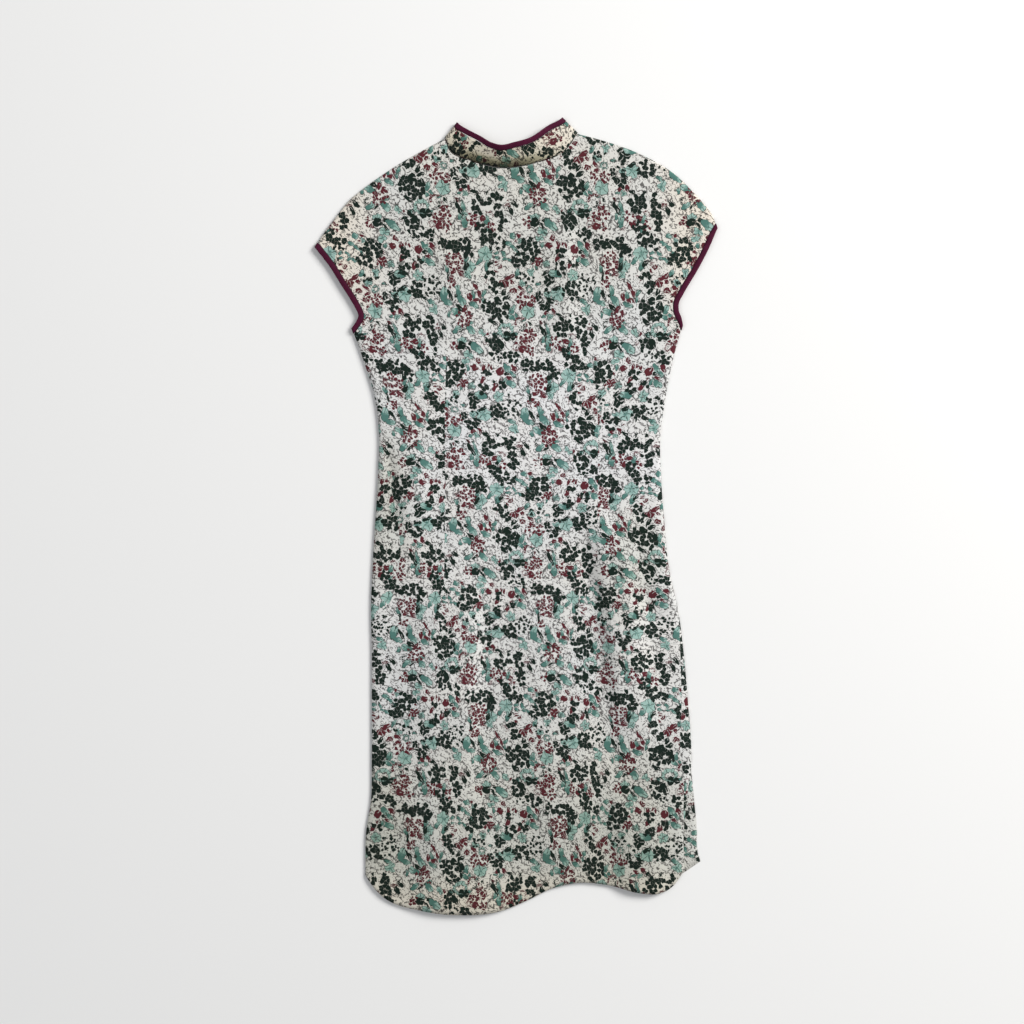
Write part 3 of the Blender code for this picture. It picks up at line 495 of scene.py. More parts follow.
def make_weave_group():
    """Plain weave: threads run along and across the cloth, each over one and under the next, with slubs."""
    tree, given, result = shader_group("plain weave", (("Cloth", "Vector"), ("Pitch", "Float")),
                                       (("Height", "Float"),))
    share = turn(tree, "SCALE", given["Cloth"], None, None, calc(tree, "DIVIDE", np.pi, given["Pitch"]))
    x, y, _ = parts_of(tree, share)
    over = product(tree, calc(tree, "SINE", x), calc(tree, "SINE", y))
    slub = noise(tree, turn(tree, "MULTIPLY", given["Cloth"], SLUB_GRAIN), 1.0)
    height = calc(tree, "MULTIPLY_ADD", slub, SLUB_HEIGHT, product(tree, over, CROSSING_HEIGHT))
    tree.links.new(height, result["Height"])
    return tree


def finish_cotton(tree, colour, height, relief, roughness, sheen_roughness, specular):
    """Links a cotton's colour, relief and roughness to its shader, which has a faint sheen."""
    shader = tree.nodes["Principled BSDF"]
    bump = wire(tree, "ShaderNodeBump", (relief, MM))
    tree.links.new(height, bump.inputs["Height"])
    tree.links.new(colour, shader.inputs["Base Color"])
    tree.links.new(bump.outputs[0], shader.inputs["Normal"])
    tree.links.new(roughness, shader.inputs["Roughness"])
    shader.inputs["Sheen Weight"].default_value = 0.03
    shader.inputs["Sheen Roughness"].default_value = sheen_roughness
    shader.inputs["Specular IOR Level"].default_value = specular


# How the cotton is finished: threads, uneven cream patches, the warmth of the painted shade, and the soft
# crumple of washed cloth
PRINTED_PITCH, THREAD_SHADE, THREAD_LIGHT, THREAD_HEIGHT = 0.55, 0.10, 0.93, 0.12
PATCH_SCALE, PATCH_SHARE, PAINTED_SHADE_WARMTH = 0.012, 0.5, 0.35
CRUMPLE_SCALE, CRUMPLE_HEIGHT, RELIEF = 0.035, 1.6, 0.5
BARE_ROUGHNESS, INK_SMOOTHS = 0.90, 0.06


def make_printed_cotton():
    """Matt printed cotton. The print follows the flat cloth, and jumps across the darts and side seams."""
    material, tree = new_material("printed cotton")
    flat_place = wire(tree, "ShaderNodeUVMap", uv_map="cut").outputs[0]
    past = parts_of(tree, attribute(tree, "seams", "Vector"))
    jumps = parts_of(tree, attribute(tree, "jumps", "Vector"))
    shift = 0.0
    for place in range(3):
        here = product(tree, calc(tree, "GREATER_THAN", past[place], 0.0), jumps[place])
        shift = calc(tree, "ADD", here, shift)
    cloth = turn(tree, "ADD", turn(tree, "SCALE", flat_place, None, None, 1.0 / MM),
                 vector(tree, shift, 0.0, 0.0))
    patches = calc(tree, "SUBTRACT", noise(tree, cloth, PATCH_SCALE, detail=2.0), 0.5)
    # Cream tint, painted warm light on the sleeves, broken up by uneven patches
    cream = calc(tree, "MULTIPLY_ADD", patches, PATCH_SHARE, attribute(tree, "cream", "Fac"))
    printed = placed(tree, make_print_group(), cloth, blend(tree, cream, GROUND, GROUND_CREAM))
    weave = placed(tree, make_weave_group(), cloth, PRINTED_PITCH)["Height"]
    # Painted shade: it darkens the threads, and takes out some blue so that the shade is warm.
    painted_shade = attribute(tree, "painted_shading", "Fac")
    thread = product(tree, calc(tree, "MULTIPLY_ADD", weave, THREAD_SHADE, THREAD_LIGHT),
                     calc(tree, "SUBTRACT", 1.0, painted_shade))
    blue_thread = product(tree, thread, calc(tree, "MULTIPLY_ADD", painted_shade, -PAINTED_SHADE_WARMTH, 1.0))
    threads = wire(tree, "ShaderNodeCombineColor", (thread, thread, blue_thread)).outputs[0]
    colour = blend(tree, 1.0, printed["Colour"], threads, way="MULTIPLY")
    crumple = noise(tree, cloth, CRUMPLE_SCALE, detail=3.0)
    height = calc(tree, "MULTIPLY_ADD", weave, THREAD_HEIGHT, product(tree, crumple, CRUMPLE_HEIGHT))
    roughness = calc(tree, "MULTIPLY_ADD", printed["Ink"], -INK_SMOOTHS, BARE_ROUGHNESS)
    finish_cotton(tree, colour, height, RELIEF, roughness, sheen_roughness=0.45, specular=0.20)
    return material


printed_cotton = make_printed_cotton()

# ---------------------------------------------------------------------------------------------------------
# Back. One piece of printed cotton from hem to shoulders, shaped by two long darts. It lies on the front in
# soft folds, rolls over to it along the side seams, and is open at the neck, armholes, slits and hem.

# A layer's wall, the daylight at a seam, a binding's width, and the daylight beside it where it turns over
CLOTH, SEAM_GAP, BINDING_WIDTH, TURN_GAP = 1.2, 0.3, 6.5, 0.65
# How far in from the shoulder seam the back rounds over, how steep its foot is there, and the foot's ease
SHOULDER_RIM, RIM_STEEPNESS, RIM_EASE = 4.0, 3.7, 0.05
LENGTH_MIDDLE = 1.24   # middle of the garment's length in the tables' y, which is the frame's origin
END_FIT = 14.0         # length over which the end of a moved edge is carried onto the line it meets
LEFT, RIGHT = -1, 1

# Side seams from hem to underarm: x and y on the wearer's left and right, and how far in the back rounds
SIDE_ROWS = (
    # left x, left y, left rim, right x, right y, right rim
    (-191, -454, 34, 213, -447, 9), (-190, -398, 30, 213, -398, 9), (-184, -359, 22, 217, -356, 12),
    (-183, -309, 16, 222, -316, 14), (-183, -232, 14, 218, -232, 14), (-183, -169, 13, 213, -175, 14),
    (-184, -118, 12, 207, -126, 12), (-182, -61, 11, 194, -64, 10), (-179, -10, 8, 188, -4, 7),
    (-175, 58, 6, 184, 55, 6), (-174, 104, 6, 183, 100, 6), (-179, 149, 6, 189, 147, 6),
    (-193, 197, 6, 199, 199, 6), (-208, 239, 5, 211, 243, 5),
)
# Armhole edges from the underarm to the sleeve's tip, and shoulder seams from there to the neck
ARMHOLE_ROWS = ((-208, 239, 211, 243), (-202.5, 247.5, 209.5, 252), (-199.5, 255, 206, 262),
                (-203, 264, 206.5, 272), (-208, 273, 211, 281), (-222, 295, 231, 315),
                (-235, 316, 244, 340), (-255, 342, 255, 366))
SHOULDER_ROWS = ((-255, 342, 255, 366), (-243, 361, 249, 383), (-231, 377, 236, 400), (-207, 406, 222, 415),
                 (-197, 414, 206, 431), (-151, 446, 156, 461), (-109, 470, 105, 479), (-90, 480, 78, 486))
BACK_NECK_ROWS = ((-90, 480), (-83, 462), (-60, 452), (-18, 441.5), (24, 448), (61, 463), (78, 486))
HEM_ROWS = ((-191, -454), (-184, -465), (-172, -479), (-158, -488.5), (-122, -498.5), (-71, -504),
            (-20, -499.5), (12, -487), (48, -470), (81, -463.5), (119, -467), (160, -476.5), (180, -477),
            (195, -471), (206, -459), (213, -447))

# Height of the back over the table, down its middle, before the folds
LIE_ROWS = ((-504, 4.2), (-470, 4.8), (-410, 6.0), (480, 6.0))
# Broad folds: crest from x, y to x, y; height; half width; the two flanks; how it rises and fades
FOLD_ROWS = (
    (-86, 390, -72, 180, 2.0, 36, 34, 26, 90, 80),      # left shoulder blade
    (46, 400, 68, 170, 4.0, 32, 44, 20, 90, 80),        # right shoulder blade
    (-132, 120, -128, -60, 2.5, 30, 26, 24, 60, 70),    # left waist
    (-90, -20, -108, -400, 7.0, 62, 62, 26, 120, 180),  # left thigh
    (40, -60, 62, -470, 3.5, 60, 48, 44, 120, 60),      # centre right
    (112, 40, 158, -350, 8.0, 38, 28, 26, 90, 150),     # right hip
    (-80, -300, -76, -520, 7.0, 76, 66, 60, 130, 30),   # left hem wave
    (150, -320, 160, -500, 5.0, 42, 34, 30, 90, 30),    # right hem wave
)
# Small creases, soft troughs (below 0) and ridges: from x, y to x, y; depth; half width
CREASE_ROWS = (
    (80, 372, 78, 214, -1.3, 10), (98, 240, 108, 150, 0.9, 9), (-46, -90, -34, -285, -1.3, 13),
    (-172, 110, -150, -6, -2.4, 7), (-150, -6, -154, -110, -1.6, 9),
    (-172, -220, -166, -330, -1.2, 11), (-78, 216, -76, 150, -1.0, 9),
    (108, -90, 122, -284, -1.6, 11), (122, -284, 160, -400, -1.6, 13), (202, -362, 168, -428, 0.9, 9),
    (146, -22, 176, -112, -1.5, 10), (170, 60, 192, -90, 1.0, 9), (164, 100, 150, 30, 0.9, 10),
    (-150, -440, -166, -478, -1.2, 12), (30, -330, 18, -480, -1.0, 14), (-10, 140, 40, 128, 0.6, 14),
    (-120, 300, -150, 260, -0.7, 12), (150, 330, 172, 282, -0.8, 12), (-60, 60, -20, 44, 0.5, 12),
    (60, 20, 110, 52, 0.6, 10), (-176, 236, -120, 214, -0.7, 9), (176, 240, 128, 206, -0.7, 9),
    (-20, -190, 10, -310, 0.8, 12), (0, 420, 26, 360, -0.5, 12), (-118, 120, -92, 84, 0.6, 8),
    (128, 110, 104, 70, -0.6, 8), (-96, -150, -84, -250, 0.8, 12), (-62, 330, -40, 250, 0.5, 11),
    (20, 300, 36, 200, -0.5, 12), (-130, -300, -112, -430, -0.9, 12), (70, -300, 84, -440, -0.9, 13),
    (120, 20, 146, -52, -2.2, 8), (86, -50, 104, -120, -2.0, 8), (154, -78, 178, -140, -2.0, 8),
    (-174, -330, -150, -470, -2.2, 13),
)
# Darts, by level: x of the left and of the right one, and how much of the print each takes in
DART_ROWS = ((230, -87, 95, 0, 0), (211, -88, 95, 4, 6), (147, -90, 103, 22, 16), (95, -90, 104, 28, 29),
             (-8, -90, 103, 20, 25), (-70, -91, 103, 12, 11), (-100, -91, 103, 0, 0))
# Side seams where they lie on top, by level: x of the left and of the right one. Outside them is the front.
# The top row lies beyond the sleeves, which are cut in one with the back and have no seam.
TOP_SEAM_ROWS = ((150, -300, 300), (120, -190, 200), (90, -169, 200), (64, -165, 200),
                 (23, -155, 198), (-10, -149, 192),
                 (-42, -146, 188), (-75, -150, 199), (-106, -158, 203), (-135, -186, 207),
                 (-235, -200, 210), (-290, -200, 207), (-340, -200, 213), (-380, -200, 212),
                 (-420, -200, 230))
# How the print lies, by level: its own height above its key flower, and its shift sideways at four places
LAY_ROWS = (
    # level, print height, left, centre left, centre right, right
    (526, 143, -12, -10, -5, -3), (372, 0, 0, 0, 0, -2), (217, -145, 15, 6, 6, -1),
    (141, -219, 30, 8, 8, -10), (77, -283, 43, 15, 15, -14), (-9, -376, 38, 18, 13, -13),
    (-70, -438, 41, 27, 10, -1),
    (-170, -548, 44, 33, 15, 3), (-259, -641, 46, 33, 20, 9), (-354, -738, 51, 42, 30, 14),
    (-506, -895, 56, 48, 38, 20),
)
KEY_FLOWER_X = 31.0
DART_LAY = 90.0        # how far outside a dart the print's lay has changed to that of the side
SEAM_JUMP = 63.0       # how far the front's print is out of step with the back's at the side seams


def spline(points, along_of, steady=False):
    """A cubic curve through the points, read at the distances that `along_of` gives for its knots.

    A steady curve never swings past its points: its slope is level at each high or low one.
    """
    points = np.asarray(points, float)
    chord = np.linalg.norm(np.diff(points, axis=0), axis=1)
    knot = np.concatenate(([0.0], np.cumsum(chord)))
    slope = np.gradient(points, knot, axis=0)
    if steady:
        chord_slope = np.diff(points, axis=0) / chord[:, None]
        before, after = chord_slope[:-1], chord_slope[1:]
        same_way = before * after > 0
        slope[1:-1] = np.where(same_way, 2 * before * after / np.where(same_way, before + after, 1.0), 0.0)
    along = along_of(knot)
    span = np.clip(np.searchsorted(knot, along, side="right") - 1, 0, len(chord) - 1)
    width = chord[span][:, None]
    t = (along - knot[span])[:, None] / width
    return ((2 * t**3 - 3 * t**2 + 1) * points[span] + (t**3 - 2 * t**2 + t) * width * slope[span]
            + (3 * t**2 - 2 * t**3) * points[span + 1] + (t**3 - t**2) * width * slope[span + 1])


def smooth(points):
    """A cubic curve through the points, as a polyline with its points about 1 mm apart."""
    return spline(points, lambda knot: np.linspace(0.0, knot[-1], int(knot[-1]) + 2))


def lengths(line):
    """Distance along a polyline to each of its points."""
    return np.concatenate(([0.0], np.cumsum(np.linalg.norm(np.diff(line, axis=0), axis=1))))


def at(line, distance):
    """Points of a polyline at the given distances along it."""
    along = lengths(line)
    return np.stack([np.interp(distance, along, line[:, axis]) for axis in range(line.shape[1])], axis=-1)


def at_share(line, share):
    """Points of a polyline at the given shares of the way through its list of points."""
    place = np.asarray(share) * (len(line) - 1)
    return np.stack([np.interp(place, np.arange(len(line)), line[:, axis]) for axis in (0, 1)], axis=-1)


def foot_on(line, points):
    """Shortest distance from each plan point to a polyline, and how far along it that place lies.

    Each point is first set against every 8th point of the line, then against the stretch round the closest.
    """
    flat_points = points.reshape(-1, 2)
    coarse = np.arange(0, len(line), 8)
    closest = coarse[np.linalg.norm(flat_points[:, None] - line[coarse], axis=-1).argmin(-1)]
    place = np.clip(closest[:, None] + np.arange(-9, 9), 0, len(line) - 2)
    start, run = line[place], line[place + 1] - line[place]
    to_start = flat_points[:, None] - start
    share = np.clip((to_start * run).sum(-1) / (run * run).sum(-1), 0.0, 1.0)
    gap = np.linalg.norm(to_start - share[..., None] * run, axis=-1)
    nearest = gap.argmin(-1)
    pick = np.arange(len(flat_points))
    along = lengths(line)
    chosen = place[pick, nearest]
    distance = along[chosen] + share[pick, nearest] * (along[chosen + 1] - along[chosen])
    return gap[pick, nearest].reshape(points.shape[:-1]), distance.reshape(points.shape[:-1])


def cut_at(line, point):
    """The part of a polyline up to the place nearest to a point."""
    end = foot_on(line, np.asarray(point, float)[None])[1][0]
    return at(line, np.linspace(0.0, end, max(2, int(end) + 1)))


def ease(share):
    """Smooth step from 0 to 1."""
    share = np.clip(share, 0.0, 1.0)
    return share * share * (3.0 - 2.0 * share)


def beside(line, distance, side, start_on, end_on, least=0.0):
    """A polyline moved sideways, to its left where side is 1, with its ends carried onto two other lines.

    Each end goes to the nearest place on its line, or `least` along it where that is further.
    """
    run = np.gradient(line, axis=0)
    run /= np.linalg.norm(run, axis=1)[:, None]
    moved = line + side * distance * np.stack([-run[:, 1], run[:, 0]], axis=1)
    along = lengths(line)[:, None]
    for carrier, place, from_end in ((start_on, 0, along), (end_on, -1, along[-1] - along)):
        along_carrier = np.maximum(foot_on(carrier, moved[place][None])[1], least)
        moved = moved + ease(1.0 - from_end / END_FIT) * (at(carrier, along_carrier) - moved[place])
    return moved


def joined(*lines):
    """Polylines end to end as one, without the repeated point at each join."""
    return np.concatenate([lines[0]] + [line[1:] for line in lines[1:]])


def round_over(share):
    """A quarter of an ellipse: 0 at the seam, rising steeply, and 1 from share 1 on."""
    return np.sqrt(1.0 - (1.0 - np.clip(share, 0.0, 1.0))**2)


TURN_ANGLES = np.radians(np.arange(0, 91, 18))


def turn_steps(width):
    """Places that a surface which rounds over across `width` needs, measured in from the seam."""
    return width * (1.0 - np.cos(TURN_ANGLES))


side_table, arm_table = np.array(SIDE_ROWS, float), np.array(ARMHOLE_ROWS, float)
shoulder_table = np.array(SHOULDER_ROWS, float)
SIDE_SEAM = {LEFT: smooth(side_table[:, 0:2]), RIGHT: smooth(side_table[:, 3:5])}
SIDE_RIM = {LEFT: side_table[:, 1:3], RIGHT: side_table[:, 4:6]}
ARMHOLE = {LEFT: smooth(arm_table[:, :2]), RIGHT: smooth(arm_table[:, 2:])}
SHOULDER = {LEFT: smooth(shoulder_table[:, :2]), RIGHT: smooth(shoulder_table[:, 2:])}
BACK_NECK, HEM = smooth(BACK_NECK_ROWS), smooth(HEM_ROWS)


def binding_edges(side):
    """Armhole binding's outer and inner edges, and the panels' edge, a seam's gap further in."""
    seam, shoulder = SIDE_SEAM[side][::-1], SHOULDER[side]
    inner = beside(ARMHOLE[side], BINDING_WIDTH, side, seam, shoulder, BINDING_WIDTH)
    panels_in = BINDING_WIDTH + TURN_GAP
    panels = beside(ARMHOLE[side], panels_in, side, seam, shoulder, panels_in + TURN_GAP)
    return ARMHOLE[side], inner, panels


def lie_height(points):
    """Height of the back's outer surface away from the seams: its lie down the middle, and broad folds."""
    x, y = points[..., 0], points[..., 1]
    height = np.interp(y, *np.array(LIE_ROWS).T)
    for x_top, y_top, x_low, y_low, crest, half_width, left, right, rise, fade in FOLD_ROWS:
        off = x - np.interp(y, (y_low, y_top), (x_low, x_top))
        across = ease((off + half_width) / left) * ease((half_width - off) / right)
        along = ease((y_top - y) / rise) * ease((y - y_low) / fade)
        height = height + crest * across * along
    return height


CREASE_SWAY, CREASE_WAVES = 0.35, 4.0            # as a share of its half width, and radians in its length
CREASE_FULL, CREASE_FADE = 1.25, 1.6             # full length in its middle, faded just past its ends


def crease_height(points):
    """Small creases: each is deepest along the middle of its line, and dies away past its ends and sides.

    The line sways a little, so no crease is straight.
    """
    height = np.zeros(points.shape[:-1])
    for number, (x_top, y_top, x_low, y_low, depth, half_width) in enumerate(CREASE_ROWS):
        start, run = np.array((x_top, y_top), float), np.array((x_low - x_top, y_low - y_top), float)
        whole = np.linalg.norm(run)
        along = (points - start) @ run / whole
        off = (points - start) @ np.array((-run[1], run[0])) / whole
        off = off + CREASE_SWAY * half_width * np.sin(along / whole * CREASE_WAVES + number)
        reach = ease(CREASE_FULL - np.abs(along / whole - 0.5) * CREASE_FADE)
        height = height + depth * reach * np.exp(-(off / half_width)**2)
    return height


CREASE_CLEAR, CREASE_GROW = 0.6, 1.5             # rims in from a seam where creases start, and to grow full


def back_height(points):
    """Height of the back's outer surface: its lie, rounded down to the front at side and shoulder seams."""
    seat = CLOTH + SEAM_GAP
    lie = lie_height(points)
    full, foot, closest = np.ones(lie.shape), np.full(lie.shape, seat), np.full(lie.shape, np.inf)
    for side in (LEFT, RIGHT):
        side_rim = np.interp(points[..., 1], *SIDE_RIM[side].T)
        for line, rim in ((SIDE_SEAM[side], side_rim), (SHOULDER[side], SHOULDER_RIM)):
            share = foot_on(line, points)[0] / rim
            steep = RIM_STEEPNESS * (lie - seat) / rim
            foot = np.where(share < closest, seat + CLOTH / np.hypot(1.0, steep) + RIM_EASE, foot)
            closest = np.minimum(closest, share)
            full = full * round_over(share)
    creased = lie + crease_height(points) * ease((closest - CREASE_CLEAR) / CREASE_GROW)
    return foot + (creased - foot) * full


def spread(line, count, low_turn=0.0, high_turn=0.0):
    """A polyline's points at `count` even steps, with extra ones where the surface turns at its ends."""
    whole = lengths(line)[-1]
    low = turn_steps(low_turn) if low_turn else np.zeros(1)
    high = whole - (turn_steps(high_turn)[::-1] if high_turn else np.zeros(1))
    return at(line, np.concatenate((low, np.linspace(low[-1], high[0], count + 1)[1:-1], high)))


BOW_LOW_TO, BOW_HIGH_FROM = 0.35, 0.3            # shares of the way up that the edges' shapes reach
BOW_HIGH_FADE = np.array((3.5, 1.5))             # how late the top edge's shape grows, in x and in y


def patch(bottom, top, left, right, left_turn=None, right_turn=None):
    """Plan points of a four-sided piece from the points of its edges.

    Each row runs straight from the left edge to the right. It is then bowed by the bottom edge's own shape,
    which dies away over the lowest rows, and by the top edge's, which grows over the upper rows.
    """
    up = np.linspace(0.0, 1.0, len(left))[:, None, None]
    even = np.broadcast_to(np.linspace(0.0, 1.0, len(top)), (len(left), len(top)))
    if left_turn is not None:
        width = (right[:, 0] - left[:, 0])[:, None]
        low = np.array([turn_steps(turn) for turn in left_turn]) / width
        high = 1.0 - np.array([turn_steps(turn)[::-1] for turn in right_turn]) / width
        inner_count = len(top) - 2 * (len(TURN_ANGLES) - 1)
        inner = np.linspace(low[:, -1], high[:, 0], inner_count, axis=1)[:, 1:-1]
        even = np.concatenate((low, inner, high), axis=1)
    across = even[..., None]
    rows = (1 - across) * left[:, None] + across * right[:, None]
    bow_low = bottom - ((1 - across[0]) * bottom[0] + across[0] * bottom[-1])
    bow_high = top - ((1 - across[-1]) * top[0] + across[-1] * top[-1])
    fade_high = np.clip((up - BOW_HIGH_FROM) / (1.0 - BOW_HIGH_FROM), 0.0, 1.0)**BOW_HIGH_FADE
    return rows + (1.0 - ease(up / BOW_LOW_TO)) * bow_low + fade_high * bow_high


TOP_TURN_SHARE = 0.9   # the most that the extra rows take up of the way between the last two


def with_top_turn(plan, width):
    """The same rows, with extra ones below the last where the surface turns at the shoulder seam.

    Where the last two rows lie close, the extra ones share most of what lies between them.
    """
    low, high = plan[-2], plan[-1]
    run = high - low
    reach = np.linalg.norm(run, axis=1)[None, :, None]
    most = TOP_TURN_SHARE * TURN_ANGLES[1:, None, None] / TURN_ANGLES[-1]
    share = np.minimum(turn_steps(width)[1:, None, None] / reach, most)
    return np.concatenate((plan[:-1], (high - share * run)[::-1], plan[-1:]))


NOTCH_CROWDING = 1.5   # 1 would space the points evenly


def arm_shares(steps):
    """Shares of an armhole edge for its pieces' points, closer together towards the tight notch."""
    return np.linspace(0.0, 1.0, steps + 1)**NOTCH_CROWDING


def panel_side(side, seam_steps, arm_steps):
    """Left or right edge of a whole panel: side seam from hem to underarm, then the armhole."""
    arm = binding_edges(side)[2]
    return joined(spread(cut_at(SIDE_SEAM[side], arm[0]), seam_steps), at_share(arm, arm_shares(arm_steps)))


def to_tip(side, arm_end):
    """A shoulder seam from a panel's upper armhole corner to the neck."""
    return cut_at(SHOULDER[side][::-1], arm_end)[::-1]


def at_levels(rows, y):
    """A table's columns, read at the given levels. Its first column is the level, from high to low."""
    table = np.array(rows, float)[::-1]
    return [np.interp(y, table[:, 0], column) for column in table[:, 1:].T]


def flat_cut(plan):
    """Where each plan point lies on the print: the cloth's drift sideways and along, from the lay table."""
    x, y = plan[..., 0], plan[..., 1]
    up, left, centre_left, centre_right, right = at_levels(LAY_ROWS, y)
    left_dart, right_dart, left_take, right_take = at_levels(DART_ROWS, y)
    shift = centre_left + (centre_right - centre_left) * ease((x - left_dart) / (right_dart - left_dart))
    shift = shift + (left - centre_left - left_take) * ease(0.5 + (left_dart - x) / DART_LAY)
    shift = shift + (right - centre_right + right_take) * ease(0.5 + (x - right_dart) / DART_LAY)
    return np.stack((x - KEY_FLOWER_X - shift, up), axis=-1)


def seam_sides(plan):
    """How far each point lies past the left dart, the right dart and the side seam, and the jumps there."""
    x, y = plan[..., 0], plan[..., 1]
    left_dart, right_dart, left_take, right_take = at_levels(DART_ROWS, y)
    left_seam, right_seam = at_levels(TOP_SEAM_ROWS, y)
    past = np.stack((left_dart - x, x - right_dart, np.maximum(left_seam - x, x - right_seam)), axis=-1)
    jumps = np.stack((-left_take, right_take, np.full(x.shape, SEAM_JUMP)), axis=-1)
    return past, jumps


def grid_faces(rows, cols, closed):
    """Quads of a grid, with its last row joined to its first where it is closed."""
    row = np.arange(rows if closed else rows - 1)[:, None]
    low, high = row * cols + np.arange(cols - 1), (row + 1) % rows * cols + np.arange(cols - 1)
    return np.stack([low, low + 1, high + 1, high], axis=-1).reshape(-1, 4)


def cloth_piece(name, points, cut, material, wall, offset=-1.0, closed=False):
    """A piece of cloth from a grid of points in millimetres: its faces, its cut as UV, and its wall."""
    rows, cols = points.shape[:2]
    mesh = bpy.data.meshes.new(name)
    faces = grid_faces(rows, cols, closed)
    placed_points = (points.reshape(-1, 3) - (0.0, LENGTH_MIDDLE, 0.0)) * MM
    mesh.from_pydata(placed_points, [], faces)
    mesh.shade_smooth()
    layer = mesh.uv_layers.new(name="cut")
    layer.data.foreach_set("uv", (cut.reshape(-1, 2)[faces.reshape(-1)] * MM).astype(np.float32).ravel())
    piece = bpy.data.objects.new(name, mesh)
    mesh.materials.append(material)
    bpy.context.scene.collection.objects.link(piece)
    solidify = piece.modifiers.new("wall", "SOLIDIFY")
    solidify.thickness = wall * MM
    solidify.offset = offset
    return piece


def mark(piece, name, values):
    """A value or a vector for each point of a piece, for its material to read."""
    kind = "FLOAT_VECTOR" if values.ndim == 3 else "FLOAT"
    layer = piece.data.attributes.new(name, kind, "POINT")
    field = "vector" if kind == "FLOAT_VECTOR" else "value"
    layer.data.foreach_set(field, values.astype(np.float32).ravel())


# How cream the cloth is, painted warm light on the sleeves, and where that starts and over what length it
# grows, outwards and upwards
ALL_CREAM, SLEEVE_CREAM, SHOULDER_CREAM, HEM_CREAM = 0.12, 0.75, 0.15, 0.60
SLEEVE_OUT, SLEEVE_UP, SHOULDER_UP, HEM_DOWN = (150, 90), (200, 80), (380, 100), (430, 60)
# Painted shade, darker towards the hem, the sides and along creases, and painted light where the amount is
# below 0.
# Each place fades out at this share of its reach from its middle.
PAINTED_SHADING_END = 1.2
PAINTED_SHADING_ROWS = (
    # x, y, reach sideways, reach along, how much darker
    (0, -470, 330, 250, 0.19), (150, -400, 90, 130, 0.10), (-170, 0, 46, 110, 0.12),
    (-175, -390, 60, 110, 0.15), (0, 380, 260, 190, 0.10), (15, 110, 170, 170, -0.07),
    (165, 60, 40, 60, -0.05), (118, -140, 30, 110, 0.05), (-162, 50, 16, 80, 0.08),
    (138, -30, 22, 60, 0.06), (160, -90, 20, 50, 0.06), (150, -50, 44, 70, 0.08),
)


def grown(way, start, length):
    """0 up to a start, and 1 from a length beyond it on."""
    return ease((way - start) / length)


def creaminess(plan):
    """How cream the cloth is: most on the sleeves, where it is painted warm light, then on the shoulders and
    along the hem.
    """
    x, y = plan[..., 0], plan[..., 1]
    sleeve = grown(np.abs(x), *SLEEVE_OUT) * grown(y, *SLEEVE_UP)
    shoulder, hem = grown(y, *SHOULDER_UP), grown(-y, *HEM_DOWN)
    cream = ALL_CREAM + SLEEVE_CREAM * sleeve + SHOULDER_CREAM * shoulder + HEM_CREAM * hem
    return np.clip(cream, 0.0, 1.0)


def painted_shading(plan):
    """Painted shade: most towards the hem and sides, least in the middle of the back, which is painted
    lighter.
    """
    x, y = plan[..., 0], plan[..., 1]
    painted_shade = np.zeros(x.shape)
    for middle_x, middle_y, reach_x, reach_y, darker in PAINTED_SHADING_ROWS:
        away = np.hypot((x - middle_x) / reach_x, (y - middle_y) / reach_y)
        painted_shade = painted_shade + darker * ease(PAINTED_SHADING_END - away)
    return painted_shade


def lifted(plan, height):
    """Plan points with their height: one for them all, one for each row, or one for each point."""
    return np.concatenate((plan, np.broadcast_to(height, plan.shape[:-1])[..., None]), axis=-1)


def tint_and_shade(piece, plan):
    """Gives a piece its cream tint, painted warm light on the sleeves, and its painted shade, by where its
    points lie in plan.
    """
    mark(piece, "cream", creaminess(plan))
    mark(piece, "painted_shading", painted_shading(plan))


# How many steps each edge of the back has, and how wide its top corners turn
BACK_SEAM_STEPS, BACK_ARM_STEPS, BACK_SHOULDER_STEPS, BACK_NECK_STEPS, TOP_TURN = 150, 44, 30, 60, 5.0
back_left, back_right = (panel_side(side, BACK_SEAM_STEPS, BACK_ARM_STEPS) for side in (LEFT, RIGHT))
back_top = joined(spread(to_tip(LEFT, back_left[-1]), BACK_SHOULDER_STEPS, low_turn=TOP_TURN),
                  spread(BACK_NECK, BACK_NECK_STEPS),
                  spread(to_tip(RIGHT, back_right[-1])[::-1], BACK_SHOULDER_STEPS, high_turn=TOP_TURN))
back_turns = [np.interp(edge[:, 1], *SIDE_RIM[side].T)
              for side, edge in ((LEFT, back_left), (RIGHT, back_right))]
back_bottom = spread(HEM, len(back_top) - 2 * len(TURN_ANGLES) + 1, low_turn=back_turns[0][0],
                     high_turn=back_turns[1][0])
back_plan = with_top_turn(patch(back_bottom, back_top, back_left, back_right, *back_turns), SHOULDER_RIM)
back = cloth_piece("back_cloth", lifted(back_plan, back_height(back_plan)), flat_cut(back_plan),
                   printed_cotton, CLOTH)
past_seams, seam_jumps = seam_sides(back_plan)
mark(back, "seams", past_seams)
mark(back, "jumps", seam_jumps)
tint_and_shade(back, back_plan)
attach(back, "root")
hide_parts("back_panel")


# ---------------------------------------------------------------------------------------------------------
# Front. One piece of printed cotton, flat on the table, from the hem to the wearer's left shoulder and the
# slanting edge of the overlap. Only its corner shows, past the back's at the right slit.

